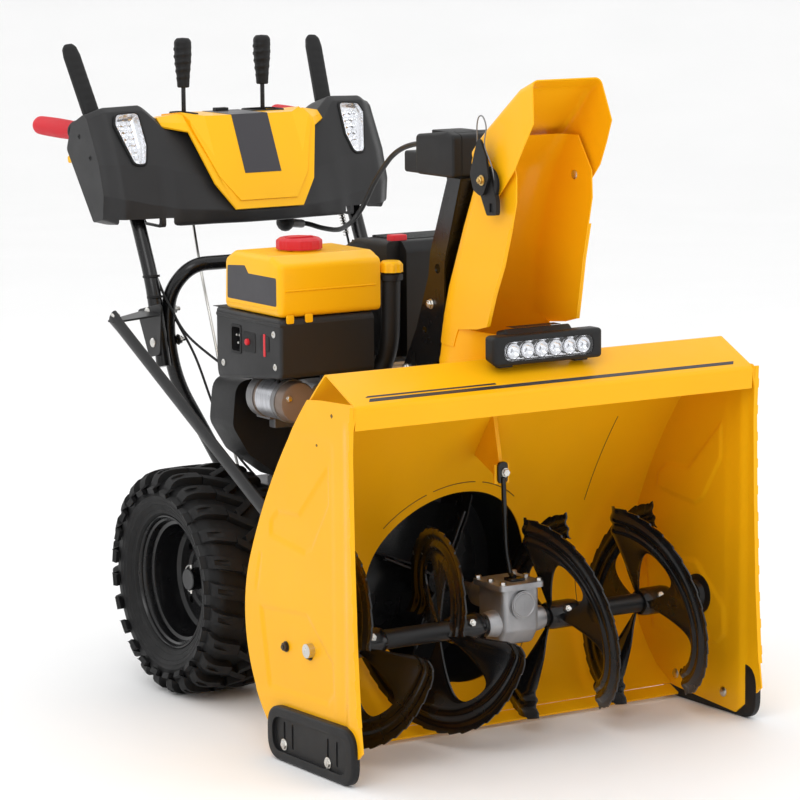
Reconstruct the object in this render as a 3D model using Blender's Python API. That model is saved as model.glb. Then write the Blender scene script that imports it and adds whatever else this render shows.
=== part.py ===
"""Two stage snowblower: auger housing, drive, engine, chute, handles and controls.

Metres, +Z up. The machine faces -Y and its right hand side, as its operator sees it, is -X.
Every shape is drawn in the hood frame: Y = 0 at the front fold of the auger housing's hood and
Z = 0 six millimetres under the ground. The empty "snowblower" shifts that frame so that the
machine's footprint is centred on the origin and the ground is at Z = 0.
"""
import math

import bmesh
import bpy
from mathutils import Matrix, Vector

# Overall
GROUND_Z = 0.006                  # height of the ground in the hood frame
FRONT_Y = -0.0300                 # front of the deflector
REAR_Y = 1.2992                   # rear end of the hand grips
MIDDLE_Y = (FRONT_Y + REAR_Y) / 2

GAP = 0.0003                      # clearance between touching pieces
RUNNING = 0.0006                  # added to a round bore's radius so that its flats clear the shaft

# Auger housing
SHEET = 0.003
HOUSING_HALF = 0.3825
PLATE_OUTER = 0.386
FLANGE_OUTER = 0.3945
LIP_BOTTOM = (0.004, 0.563)
FRONT_FOLD = (0.0, 0.599)
REAR_FOLD = (0.0885, 0.642)
WALL_BREAK = (0.318, 0.328)
TROUGH_END = (0.262, 0.050)
SHELL_END = (0.222, 0.026)
WALL_BULGE = 0.021
TROUGH_BULGE = 0.047

# Auger
AUGER_Y = 0.14
AUGER_Z = 0.197
AUGER_RADIUS = 0.168
RIBBON_INNER = 0.118
RIBBON_SWEEP = 170                # degrees
RIBBON_ADVANCE = 0.121
RIBBON_THICK = 0.005
AUGER_TUBE = 0.0200
AUGER_AXLE = 0.0115

# Impeller
IMPELLER_Z = 0.229
IMPELLER_RADIUS = 0.152
DRUM_RADIUS = 0.166
DRUM_REAR = 0.455
SHAFT_RADIUS = 0.0105
CRANK_Z = 0.43
DISC_Z = 0.262                    # friction disc and friction wheel

# Chute
CHUTE_TILT = math.radians(12)
CHUTE_BASE = (0.0, 0.198, 0.598)
COLLAR_RADIUS = 0.086
COLLAR_HEIGHT = 0.092
CHUTE_WALL = 0.0025
DEFLECTOR_PIVOT = (0.0, 0.086, 0.924)

# Wheels
WHEEL_Y = 0.718
WHEEL_Z = 0.201
WHEEL_X = 0.249
TYRE_RADIUS = 0.195
TYRE_HALF = 0.0825
RIM_RADIUS = 0.110
FRAME_HALF = 0.125

# Handles
TUBE = 0.0127
HOOP_X = 0.197
HANDLE_X = 0.223
BRACE_X = 0.346

# Controls
LEVER_PIVOT = (0.240, 1.098, 0.958)
GRIP_FRONT = 1.155
SPEED_PIVOT = (-0.090, 1.045, 0.900)
JOYSTICK_PIVOT = (0.073, 1.045, 0.910)
YOKE_PIVOT = (0.073, 1.045, 0.8955)
TRIGGER_PIVOT = (0.268, 1.085, 0.912)

YELLOW = ((0.95, 0.50, 0.004), 0.30, 0.0)
BLACK_PAINT = ((0.012, 0.012, 0.013), 0.28, 0.0)
BLACK_PLASTIC = ((0.030, 0.031, 0.033), 0.55, 0.0)
GREY_PLASTIC = ((0.048, 0.049, 0.052), 0.50, 0.0)
RUBBER = ((0.016, 0.016, 0.017), 0.75, 0.0)
RED_PLASTIC = ((0.62, 0.035, 0.045), 0.40, 0.0)
CAST_METAL = ((0.42, 0.42, 0.43), 0.45, 0.85)
STEEL = ((0.50, 0.50, 0.52), 0.35, 1.0)
BRONZE = ((0.45, 0.29, 0.12), 0.35, 1.0)
TAUPE = ((0.20, 0.165, 0.14), 0.45, 0.3)

pivots = {}


def clear_scene():
    for item in list(bpy.data.objects):
        bpy.data.objects.remove(item, do_unlink=True)


def material(name, finish):
    colour, roughness, metallic = finish
    found = bpy.data.materials.get(name)
    if found:
        return found
    made = bpy.data.materials.new(name)
    made.use_nodes = True
    shader = made.node_tree.nodes["Principled BSDF"]
    shader.inputs["Base Color"].default_value = (*colour, 1.0)
    shader.inputs["Roughness"].default_value = roughness
    shader.inputs["Metallic"].default_value = metallic
    return made


def pivot(name, place, parent=None):
    """An empty at a joint; place is in the hood frame."""
    empty = bpy.data.objects.new(f"{name}_pivot", None)
    bpy.context.scene.collection.objects.link(empty)
    base = Vector(pivots[parent][1]) if parent else Vector((0, 0, 0))
    empty.location = Vector(place) - base
    if parent:
        empty.parent = pivots[parent][0]
    pivots[name] = (empty, tuple(place))
    return empty


def mirrored(points):
    return [(-x, y, z) for x, y, z in points]


# Outlines

def arc(start, end, bulge, steps):
    """Points after start up to end on a round arc whose middle stands off to the left by bulge."""
    chord = Vector(end) - Vector(start)
    half = chord.length / 2
    radius = (half * half + bulge * bulge) / (2 * abs(bulge))
    side = Vector((-chord.y, chord.x)).normalized() * (1 if bulge > 0 else -1)
    centre = Vector(start) + chord / 2 + side * (abs(bulge) - radius)
    first = math.atan2(start[1] - centre.y, start[0] - centre.x)
    turn = -2 * math.asin(half / radius) * (1 if bulge > 0 else -1)
    return [(centre.x + radius * math.cos(first + turn * i / steps),
             centre.y + radius * math.sin(first + turn * i / steps)) for i in range(1, steps + 1)]


def offset_line(points, distance):
    """An open line moved to its left by distance, mitred at its corners."""
    result = []
    for i, point in enumerate(points):
        before = Vector(points[max(i - 1, 0)])
        here = Vector(point)
        after = Vector(points[min(i + 1, len(points) - 1)])
        ahead = (after - here).normalized() if after != here else (here - before).normalized()
        behind = (here - before).normalized() if before != here else ahead
        normal = Vector((-(ahead + behind).y, (ahead + behind).x)).normalized()
        reach = distance / normal.dot(Vector((-ahead.y, ahead.x)))
        result.append(tuple(here + normal * reach))
    return result


def rounded(points, radius, steps=4):
    """A closed outline with each corner rounded by an arc."""
    result = []
    count = len(points)
    for i in range(count):
        here = Vector(points[i])
        to_last = (Vector(points[i - 1]) - here)
        to_next = (Vector(points[(i + 1) % count]) - here)
        angle = to_last.angle(to_next)
        back = min(radius / math.tan(angle / 2), to_last.length * 0.45, to_next.length * 0.45)
        start = here + to_last.normalized() * back
        end = here + to_next.normalized() * back
        for k in range(steps + 1):
            t = k / steps
            result.append(tuple(start * (1 - t) ** 2 + here * 2 * t * (1 - t) + end * t * t))
    return result


def rectangle(low_a, high_a, low_b, high_b):
    return [(low_a, low_b), (high_a, low_b), (high_a, high_b), (low_a, high_b)]


# Solids, each a closed bmesh

def closed(mesh):
    bmesh.ops.remove_doubles(mesh, verts=mesh.verts, dist=1e-7)
    bmesh.ops.recalc_face_normals(mesh, faces=mesh.faces)
    return mesh


def prism(outline, axis, low, high):
    """An outline in the two other axes, in X, Y, Z order, pushed along an axis."""
    places = {"X": lambda a, b, c: (c, a, b), "Y": lambda a, b, c: (a, c, b), "Z": lambda a, b, c: (a, b, c)}
    return loft([[places[axis](a, b, end) for a, b in outline] for end in (low, high)])


def block(x, y, z):
    return prism(rectangle(*x, *y), "Z", *z)


def loft(rings, hollow=False):
    """A skin through rings of points; the ends are capped, or joined to each other when hollow."""
    mesh = bmesh.new()
    rows = [[mesh.verts.new(point) for point in ring] for ring in rings]
    count = len(rows[0])
    pairs = list(zip(rows, rows[1:])) + ([(rows[-1], rows[0])] if hollow else [])
    for first, second in pairs:
        for i in range(count):
            j = (i + 1) % count
            mesh.faces.new((first[i], first[j], second[j], second[i]))
    if not hollow:
        mesh.faces.new(rows[0])
        mesh.faces.new(rows[-1][::-1])
    return closed(mesh)


def basis(direction):
    ahead = Vector(direction).normalized()
    helper = Vector((0, 0, 1)) if abs(ahead.z) < 0.9 else Vector((1, 0, 0))
    side = ahead.cross(helper).normalized()
    return ahead, side, side.cross(ahead)


def turned(profile, origin, direction, steps):
    """A closed (radius, along) profile turned about an axis; its ends may lie on the axis."""
    ahead, side, up = basis(direction)
    mesh = bmesh.new()
    rows = []
    for radius, along in profile:
        centre = Vector(origin) + ahead * along
        if radius < 1e-6:
            rows.append([mesh.verts.new(centre)] * steps)
        else:
            angles = [2 * math.pi * i / steps for i in range(steps)]
            rows.append([mesh.verts.new(centre + side * radius * math.cos(a) + up * radius * math.sin(a))
                         for a in angles])
    for first, second in zip(rows, rows[1:] + rows[:1]):
        for i in range(steps):
            j = (i + 1) % steps
            corners = list(dict.fromkeys((first[i], first[j], second[j], second[i])))
            if len(corners) > 2:
                mesh.faces.new(corners)
    return closed(mesh)


def rod(start, end, radius, steps=16):
    length = (Vector(end) - Vector(start)).length
    return turned([(0, 0), (radius, 0), (radius, length), (0, length)], start,
                  Vector(end) - Vector(start), steps)


def pipe(start, end, radius, bore, steps=20):
    length = (Vector(end) - Vector(start)).length
    return turned([(bore, 0), (radius, 0), (radius, length), (bore, length)], start,
                  Vector(end) - Vector(start), steps)


def bent(points, bend, steps=4):
    """An open path in space with its corners rounded."""
    path = [Vector(points[0])]
    for before, here, after in zip(points, points[1:], points[2:]):
        here = Vector(here)
        back = Vector(before) - here
        ahead = Vector(after) - here
        reach = min(bend, back.length * 0.48, ahead.length * 0.48)
        start = here + back.normalized() * reach
        end = here + ahead.normalized() * reach
        path += [start * (1 - t) ** 2 + here * 2 * t * (1 - t) + end * t * t
                 for t in (k / steps for k in range(steps + 1))]
    return path + [Vector(points[-1])]


def tube(path, radius, steps=10, flat=1.0):
    """A round bar along a path; flat squeezes the section across its second direction."""
    ends = [path[0]] + list(path) + [path[-1]]
    tangents = [(after - before).normalized() for before, after in zip(ends, ends[2:])]
    _, side, _ = basis(tangents[0])
    rings = []
    for point, ahead in zip(path, tangents):
        side = (side - ahead * side.dot(ahead)).normalized()
        up = side.cross(ahead)
        rings.append([point + side * radius * flat * math.cos(2 * math.pi * i / steps)
                      + up * radius * math.sin(2 * math.pi * i / steps) for i in range(steps)])
    return loft(rings)


def moved(mesh, matrix):
    mesh.transform(matrix)
    return closed(mesh)


# Objects

def add_object(name, mesh, parent):
    data = bpy.data.meshes.new(name)
    mesh.to_mesh(data)
    mesh.free()
    made = bpy.data.objects.new(name, data)
    bpy.context.scene.collection.objects.link(made)
    empty, place = pivots[parent]
    made.parent = empty
    made.matrix_parent_inverse = Matrix.Translation(-Vector(place))
    return made


def piece(name, finish, parent, base, join=(), cut=()):
    """One named solid: a base, solids united with it, then solids cut out of it."""
    made = add_object(name, base, parent)
    made.data.materials.append(material(finish, FINISHES[finish]))
    for operation, tools in (("UNION", join), ("DIFFERENCE", cut)):
        for number, tool in enumerate(tools):
            other = add_object(f"{name}_{operation.lower()}_{number}", tool, parent)
            other.hide_render = True
            other.display_type = "WIRE"
            modifier = made.modifiers.new(f"{operation.lower()}_{number}", "BOOLEAN")
            modifier.operation = operation
            modifier.solver = "EXACT"
            modifier.object = other
    made.data.shade_smooth()
    made.data.set_sharp_from_angle(angle=math.radians(35))
    return made


FINISHES = {"yellow_paint": YELLOW, "black_paint": BLACK_PAINT, "black_plastic": BLACK_PLASTIC,
            "grey_plastic": GREY_PLASTIC, "rubber": RUBBER, "red_plastic": RED_PLASTIC,
            "cast_metal": CAST_METAL, "steel": STEEL, "bronze": BRONZE, "starter_paint": TAUPE}
SIDES = (("right", -1), ("left", 1))


def chute_axis_point(along):
    """A point on the chute's turning axis, a distance above its base."""
    x, y, z = CHUTE_BASE
    return (x, y - along * math.sin(CHUTE_TILT), z + along * math.cos(CHUTE_TILT))


CHUTE_AXIS = (0.0, -math.sin(CHUTE_TILT), math.cos(CHUTE_TILT))


# Auger housing

def housing_line():
    """The outer side of the wrap-around sheet, from the hood's lip over and down to the scraper."""
    wall = arc(REAR_FOLD, WALL_BREAK, WALL_BULGE, 6)
    trough = arc(WALL_BREAK, TROUGH_END, TROUGH_BULGE, 7)
    return [LIP_BOTTOM, FRONT_FOLD, REAR_FOLD] + wall + trough + [SHELL_END]


def housing_interior(grow):
    """A solid filling everything in front of the sheet's outer side, grown by a margin."""
    line = offset_line(housing_line(), grow)
    return prism(line + [(-0.1, line[-1][1]), (-0.1, LIP_BOTTOM[1])], "X", -0.5, 0.5)


def make_housing():
    outer = housing_line()
    inner = offset_line(outer, -SHEET)
    shell = prism(outer + inner[::-1], "X", -HOUSING_HALF, HOUSING_HALF)
    gusset = prism([(0.171, 0.424), (0.171, 0.448), (0.190, 0.5325), (0.246, 0.4575)], "X", -0.0035, 0.0035)
    tab = block((-0.014, 0.0145), (0.170, 0.174), (0.420, 0.452))
    mouth = rod((0, 0.18, IMPELLER_Z), (0, 0.40, IMPELLER_Z), 0.160, 36)
    collar_hole = rod(chute_axis_point(-0.052), chute_axis_point(0.09), 0.0905, 28)
    piece("housing_shell", "yellow_paint", "snowblower", shell, [gusset, tab], [mouth, collar_hole])

    drum = turned([(0.163, 0), (DRUM_RADIUS, 0), (DRUM_RADIUS, 0.205), (0.0225, 0.205), (0.0225, 0.202),
                   (0.163, 0.202)], (0, DRUM_REAR - 0.205, IMPELLER_Z), (0, 1, 0), 32)
    outlet = block((-0.0735, 0.0735), (0.348, 0.440), (0.30, 0.42))
    piece("impeller_housing", "yellow_paint", "snowblower", drum, [],
          [housing_interior(0.0004), outlet])

    scraper_top = offset_line([TROUGH_END, SHELL_END, (0.1975, 0.0150)], GAP)
    scraper_bottom = offset_line(scraper_top, 0.004)
    piece("scraper_bar", "yellow_paint", "snowblower",
          prism(scraper_top[1:] + scraper_bottom[:0:-1], "X", -HOUSING_HALF, HOUSING_HALF))

    plate_line = offset_line(housing_line()[2:], 0.001)
    plate = [(0.0, 0.6025)] + plate_line + [(0.041, 0.0115), (-0.0215, 0.064), (-0.013, 0.123),
                                            (-0.005, 0.232), (0.001, 0.384), (0.0038, 0.52)]
    for name, side in SIDES:
        sheet = prism(plate, "X", *sorted((side * (HOUSING_HALF + GAP), side * PLATE_OUTER)))
        front = [(-0.0155, 0.1045), (-0.013, 0.123), (-0.005, 0.232), (0.001, 0.384), (0.0038, 0.52),
                 (0.0, 0.600)]
        back = [(y + 0.003, z) for y, z in front]
        flange = prism(front + back[::-1], "X", *sorted((side * 0.384, side * FLANGE_OUTER)))
        bore = rod((side * 0.37, AUGER_Y, AUGER_Z), (side * 0.40, AUGER_Y, AUGER_Z), AUGER_AXLE + RUNNING, 16)
        piece(f"side_plate_{name}", "yellow_paint", "snowblower", sheet, [flange], [bore])
        shoe = rounded([(-0.008, GROUND_Z), (0.253, GROUND_Z), (0.253, 0.093), (-0.008, 0.098)], 0.036)
        low, high = sorted((side * (PLATE_OUTER + GAP), side * 0.400))
        recess = rounded([(0.007, 0.021), (0.238, 0.021), (0.238, 0.079), (0.007, 0.083)], 0.024)
        piece(f"skid_shoe_{name}", "black_plastic", "snowblower", prism(shoe, "X", low, high), [],
              [prism(recess, "X", *sorted((side * 0.395, side * 0.41)))])


def make_chute_adapter():
    """The slanted passage from the impeller housing up to the chute's collar."""
    stations = [((0.3475, 0.3905), (0.4405, 0.3905), 0.0735, 0.012),
                ((0.312, 0.425), (0.428, 0.440), 0.0740, 0.020),
                ((0.264, 0.476), (0.395, 0.502), 0.0760, 0.034),
                ((0.218, 0.524), (0.348, 0.556), 0.0785, 0.052),
                ((0.165, 0.556), (0.300, 0.592), 0.0805, 0.070)]
    top = 0.0812
    for along in (-0.004, 0.012):
        x, y, z = chute_axis_point(along)
        stations.append(((y - top * math.cos(CHUTE_TILT), z - top * math.sin(CHUTE_TILT)),
                         (y + top * math.cos(CHUTE_TILT), z + top * math.sin(CHUTE_TILT)), top, top))

    def ring(front, back, half, corner, inset):
        front = Vector(front)
        back = Vector(back)
        across = (back - front).normalized()
        depth = (back - front).length - 2 * inset
        half -= inset
        corner = min(corner, half, depth / 2) * 0.999
        points = []
        for quarter in range(4):
            sign_x = (1, -1, -1, 1)[quarter]
            sign_d = (1, 1, -1, -1)[quarter]
            for k in range(5):
                a = math.pi / 2 * (quarter + k / 4)
                px = sign_x * (half - corner) + corner * math.cos(a)
                pd = depth / 2 + sign_d * (depth / 2 - corner) + corner * math.sin(a)
                spot = front + across * (inset + pd)
                points.append((px, spot.x, spot.y))
        return points

    outer = [ring(*station, 0.0) for station in stations]
    inner = [ring(*station, 0.0025) for station in stations]
    drum = rod((0, 0.2, IMPELLER_Z), (0, 0.6, IMPELLER_Z), DRUM_RADIUS + GAP, 72)
    piece("chute_adapter", "yellow_paint", "snowblower", loft(outer + inner[::-1], hollow=True), [], [drum])


def make_light_bar():
    front = rounded([(0.034, 0.632), (0.066, 0.642), (0.066, 0.682), (0.034, 0.682)], 0.007, 3)
    raised = rounded([(0.048, 0.650), (0.0845, 0.656), (0.0845, 0.684), (0.060, 0.690), (0.048, 0.680)],
                     0.004, 2)
    piece("light_bar", "black_plastic", "snowblower", prism(front, "X", -0.105, 0.105),
          [prism(raised, "X", -0.070, 0.058), block((-0.085, -0.060), (0.050, 0.062), (0.6298, 0.645)),
           block((0.060, 0.085), (0.050, 0.062), (0.6298, 0.645))],
          [prism(rounded(rectangle(-0.086, 0.086, 0.641, 0.673), 0.012), "Y", 0.02, 0.040)])


# Augers

def blade(inner_start, start_angle, side):
    """One ribbon of a flight: a part turn of a screw, with two arms reaching in to the tube."""
    steps = 16
    middle = side * (inner_start + RIBBON_ADVANCE / 2)
    rings = []
    for i in range(steps + 1):
        t = i / steps
        angle = math.radians(start_angle - RIBBON_SWEEP * t)
        x = side * (inner_start + RIBBON_ADVANCE * t)
        arm = max(math.exp(-((t - 0.06) / 0.085) ** 2), math.exp(-((t - 0.55) / 0.085) ** 2))
        reach = min(1.0, arm * 1.25)
        low = RIBBON_INNER - (RIBBON_INNER - AUGER_TUBE + 0.003) * reach
        low_x = x + (middle - x) * reach * 0.85
        ring = []
        for radius, place, shift in ((low, low_x, -0.5), (AUGER_RADIUS, x, -0.5), (AUGER_RADIUS, x, 0.5),
                                     (low, low_x, 0.5)):
            ring.append((place + shift * RIBBON_THICK, AUGER_Y - radius * math.cos(angle),
                         AUGER_Z + radius * math.sin(angle)))
        rings.append(ring)
    return loft(rings)


def make_augers():
    for name, side, starts, angle in (("right", -1, (0.082, 0.255), 0), ("left", 1, (0.018, 0.195), 97)):
        hub = rod((side * 0.058, AUGER_Y, AUGER_Z), (side * 0.374, AUGER_Y, AUGER_Z), AUGER_TUBE, 16)
        blades = [blade(start, angle + half, side) for start in starts for half in (0, 180)]
        bore = rod((side * 0.03, AUGER_Y, AUGER_Z), (side * 0.39, AUGER_Y, AUGER_Z), AUGER_AXLE + RUNNING, 16)
        piece(f"auger_{name}", "black_paint", "auger", hub, blades, [bore])
    piece("auger_shaft", "steel", "auger",
          rod((-0.3925, AUGER_Y, AUGER_Z), (0.3925, AUGER_Y, AUGER_Z), AUGER_AXLE, 16))
    piece("worm_wheel", "bronze", "auger",
          pipe((-0.011, AUGER_Y, AUGER_Z), (0.011, AUGER_Y, AUGER_Z), 0.0190, AUGER_AXLE + RUNNING, 16))


def make_gearbox():
    body = prism(rounded([(0.113, 0.186), (0.128, 0.160), (0.168, 0.160), (0.190, 0.190), (0.190, 0.262),
                          (0.113, 0.262)], 0.010, 2), "X", -0.036, 0.036)
    bosses = [rod((-0.0555, AUGER_Y, AUGER_Z), (0.0555, AUGER_Y, AUGER_Z), 0.0215, 20),
              rod((0, 0.104, IMPELLER_Z), (0, 0.235, IMPELLER_Z), 0.0235, 16),
              prism(rounded(rectangle(-0.043, 0.043, 0.108, 0.196), 0.010, 2), "Z", 0.2545, 0.264)]
    cavity = block((-0.029, 0.029), (0.119, 0.183), (0.170, 0.250))
    bores = [rod((-0.08, AUGER_Y, AUGER_Z), (0.08, AUGER_Y, AUGER_Z), AUGER_AXLE + RUNNING, 16),
             rod((0, 0.110, IMPELLER_Z), (0, 0.30, IMPELLER_Z), SHAFT_RADIUS + RUNNING, 16)]
    piece("gearbox_case", "cast_metal", "snowblower", body, bosses, [cavity] + bores)
    strap = bent([(0.004, 0.140, 0.2685), (0.004, 0.151, 0.2705), (0.004, 0.1655, 0.310),
                  (0.0, 0.1655, 0.448)], 0.012)
    piece("gearbox_strap", "black_paint", "snowblower", tube(strap, 0.0042, 8),
          [block((-0.010, 0.018), (0.128, 0.152), (0.2643, 0.2695)),
           block((-0.009, 0.009), (0.1655, 0.1697), (0.422, 0.456))])


# Impeller and belt drive

def make_impeller():
    hub = pipe((0, 0.352, IMPELLER_Z), (0, 0.436, IMPELLER_Z), 0.024, SHAFT_RADIUS + RUNNING, 16)
    disc = pipe((0, 0.436, IMPELLER_Z), (0, 0.440, IMPELLER_Z), 0.125, SHAFT_RADIUS + RUNNING, 24)
    blades = []
    for number in range(4):
        turn = Matrix.Rotation(math.radians(35 + 90 * number), 4, "Y")
        paddle = prism([(0.020, 0.0), (0.060, 0.004), (0.105, 0.012), (0.150, 0.026), (0.1485, 0.030),
                        (0.104, 0.016), (0.060, 0.008), (0.020, 0.004)], "Y", 0.350, 0.4375)
        blades.append(moved(paddle, Matrix.Translation((0, 0, IMPELLER_Z)) @ turn))
    piece("impeller", "black_paint", "impeller", hub, [disc] + blades)
    shaft = turned([(0, 0), (SHAFT_RADIUS, 0), (SHAFT_RADIUS, 0.007), (0.0122, 0.009), (0.0122, 0.049),
                    (SHAFT_RADIUS, 0.051), (SHAFT_RADIUS, 0.365), (0, 0.365)],
                   (0, 0.1185, IMPELLER_Z), (0, 1, 0), 16)
    piece("impeller_shaft", "steel", "impeller", shaft)
    pulley = turned([(SHAFT_RADIUS + RUNNING, 0), (0.020, 0), (0.020, 0.003), (0.095, 0.003), (0.095, 0.006),
                     (0.083, 0.010), (0.095, 0.014), (0.095, 0.017), (SHAFT_RADIUS + RUNNING, 0.017)],
                    (0, 0.464, IMPELLER_Z), (0, 1, 0), 24)
    piece("auger_pulley", "steel", "impeller", pulley)


def make_crank():
    profile = [(0, 0), (0.038, 0), (0.038, 0.003), (0.028, 0.007), (0.038, 0.011), (0.038, 0.019),
               (0.028, 0.023), (0.038, 0.027), (0.038, 0.030), (0.0125, 0.030), (0.0125, 0.1225), (0, 0.1225)]
    piece("crank_pulley", "steel", "crank", turned(profile, (0, 0.467, CRANK_Z), (0, 1, 0), 20))


def belt_loop(centre_low, radius_low, centre_high, radius_high, thick, y):
    """A flat ring around two round pulleys, one above the other."""
    def line(extra):
        distance = centre_high - centre_low
        lean = math.asin((radius_low - radius_high) / distance)
        low = [(centre_low, radius_low + extra, math.pi - lean, 2 * math.pi + lean)]
        high = [(centre_high, radius_high + extra, lean, math.pi - lean)]
        points = []
        for centre, radius, first, last in high + low:
            for k in range(13):
                a = first + (last - first) * k / 12
                points.append((radius * math.cos(a), centre + radius * math.sin(a)))
        return points
    outer = line(thick)
    inner = line(0.0)
    rings = [[(x, y[0], z) for x, z in outer], [(x, y[1], z) for x, z in outer],
             [(x, y[1], z) for x, z in inner], [(x, y[0], z) for x, z in inner]]
    return loft(rings, hollow=True)


def make_drive():
    piece("auger_belt", "rubber", "snowblower",
          belt_loop(IMPELLER_Z, 0.0965, CRANK_Z, 0.0392, 0.008, (0.4695, 0.4785)))
    outline = rounded([(-0.128, 0.118), (0.128, 0.118), (0.118, 0.400), (0.075, 0.515), (-0.075, 0.515),
                       (-0.118, 0.400)], 0.035)
    hollow = rounded([(-0.1255, 0.1205), (0.1255, 0.1205), (0.1155, 0.3995), (0.0735, 0.5125),
                      (-0.0735, 0.5125), (-0.1155, 0.3995)], 0.033)
    piece("belt_cover", "black_plastic", "snowblower", prism(outline, "Y", DRUM_REAR + 0.0006, 0.5035), [],
          [prism(hollow, "Y", DRUM_REAR + 0.0035, 0.52),
           rod((0, 0.44, IMPELLER_Z), (0, 0.47, IMPELLER_Z), SHAFT_RADIUS + 0.003, 20)])

    shell = block((-FRAME_HALF, FRAME_HALF), (0.5042, 0.872), (0.128, 0.352))
    inside = block((-FRAME_HALF + SHEET, FRAME_HALF - SHEET), (0.5042 + SHEET, 0.872 - SHEET),
                   (0.10, 0.352 - SHEET))
    holes = [rod((-0.2, WHEEL_Y, WHEEL_Z), (0.2, WHEEL_Y, WHEEL_Z), 0.0115, 20),
             rod((0, 0.49, DISC_Z), (0, 0.51, DISC_Z), 0.013, 16),
             rod((-0.2, 0.600, DISC_Z), (0.2, 0.600, DISC_Z), 0.0095, 16)]
    corner = prism([(0.86, 0.24), (0.88, 0.24), (0.88, 0.36), (0.80, 0.36)], "X", -0.3, 0.3)
    piece("frame_case", "black_paint", "snowblower", shell, [], [inside, corner] + holes)

    plate = turned([(0, 0), (0.0115, 0), (0.0115, 0.028), (0.082, 0.028), (0.082, 0.034), (0, 0.034)],
                   (0, 0.4895, DISC_Z), (0, 1, 0), 24)
    piece("friction_disc", "cast_metal", "friction_disc", plate)
    wheel = turned([(0, 0), (0.009, 0), (0.009, 0.150), (0.030, 0.152), (0.030, 0.158), (0.0755, 0.158),
                    (0.0755, 0.172), (0.030, 0.172), (0.009, 0.178), (0.009, 0.258), (0, 0.258)],
                   (-0.129, 0.600, DISC_Z), (1, 0, 0), 20)
    piece("friction_wheel", "rubber", "friction_wheel", wheel)


# Wheels

def make_wheels():
    tyre = [(RIM_RADIUS, -0.060), (0.127, -0.076), (0.152, -TYRE_HALF), (0.179, -0.078), (0.192, -0.062),
            (TYRE_RADIUS, -0.030), (TYRE_RADIUS, 0.030), (0.192, 0.062), (0.179, 0.078), (0.152, TYRE_HALF),
            (0.127, 0.076), (RIM_RADIUS, 0.060)]
    seat = RIM_RADIUS - GAP
    for name, side in SIDES:
        body = f"wheel_{name}"
        centre = (side * WHEEL_X, WHEEL_Y, WHEEL_Z)
        outward = (side, 0, 0)
        piece(f"tyre_{name}", "rubber", body, turned(tyre, centre, outward, 24))
        rim = turned([(seat, -0.059), (seat, 0.059), (0.1045, 0.059), (0.0915, -0.006), (0.040, -0.006),
                      (0.030, 0.006), (0.019, 0.006), (0.019, 0.030), (0, 0.030), (0, -0.235),
                      (0.0105, -0.235), (0.0105, -0.100), (0.019, -0.100), (0.019, -0.014), (0.0955, -0.014),
                      (0.1035, -0.059)], centre, outward, 24)
        piece(f"rim_{name}", "black_paint", body, rim)


# Chute

def chute_ring(y_front, y_back, half, corner, height):
    """A U section open to the front, as its outer line from the left front edge round to the right."""
    points = [(half, y_front, height)]
    for a in range(7):
        angle = math.pi / 2 * a / 6
        x = half - corner + corner * math.cos(angle)
        points.append((x, y_back - corner + corner * math.sin(angle), height))
    return points + mirrored(points[::-1])


def channel(sections):
    """A U channel lofted through (front, back, half width, corner, height) sections."""
    rings = []
    for front, back, half, corner, height in sections:
        outer = chute_ring(front, back, half, corner, height)
        inner = chute_ring(front, back - CHUTE_WALL, half - CHUTE_WALL, corner - CHUTE_WALL, height)
        rings.append(outer + inner[::-1])
    return loft(rings)


def make_chute():
    collar = pipe(CHUTE_BASE, chute_axis_point(COLLAR_HEIGHT), COLLAR_RADIUS, COLLAR_RADIUS - 0.0028, 28)
    spout = channel([(0.125, 0.262, 0.0700, 0.068, 0.6885), (0.112, 0.258, 0.0800, 0.074, 0.700),
                     (0.0725, 0.250, 0.0825, 0.068, 0.716), (0.048, 0.223, 0.0760, 0.056, 0.790),
                     (0.019, 0.173, 0.0735, 0.045, 0.893), (0.020, 0.147, 0.0735, 0.040, 0.936),
                     (0.055, 0.088, 0.0735, 0.020, 0.992)])
    piece("chute", "yellow_paint", "chute", collar, [spout])

    x, y, z = DEFLECTOR_PIVOT
    plate = [(y + 0.004, z - 0.058), (y + 0.026, z - 0.060), (y + 0.045, z - 0.020), (y + 0.040, z + 0.010),
             (y + 0.010, z + 0.020), (y - 0.022, z + 0.010), (y - 0.028, z - 0.030)]
    piece("tilt_bracket", "black_plastic", "chute", prism(rounded(plate, 0.012), "X", -0.0990, -0.0850),
          [rod((-0.0860, y + 0.018, z - 0.040), (-0.0770, y + 0.018, z - 0.040), 0.006, 12)])


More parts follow.
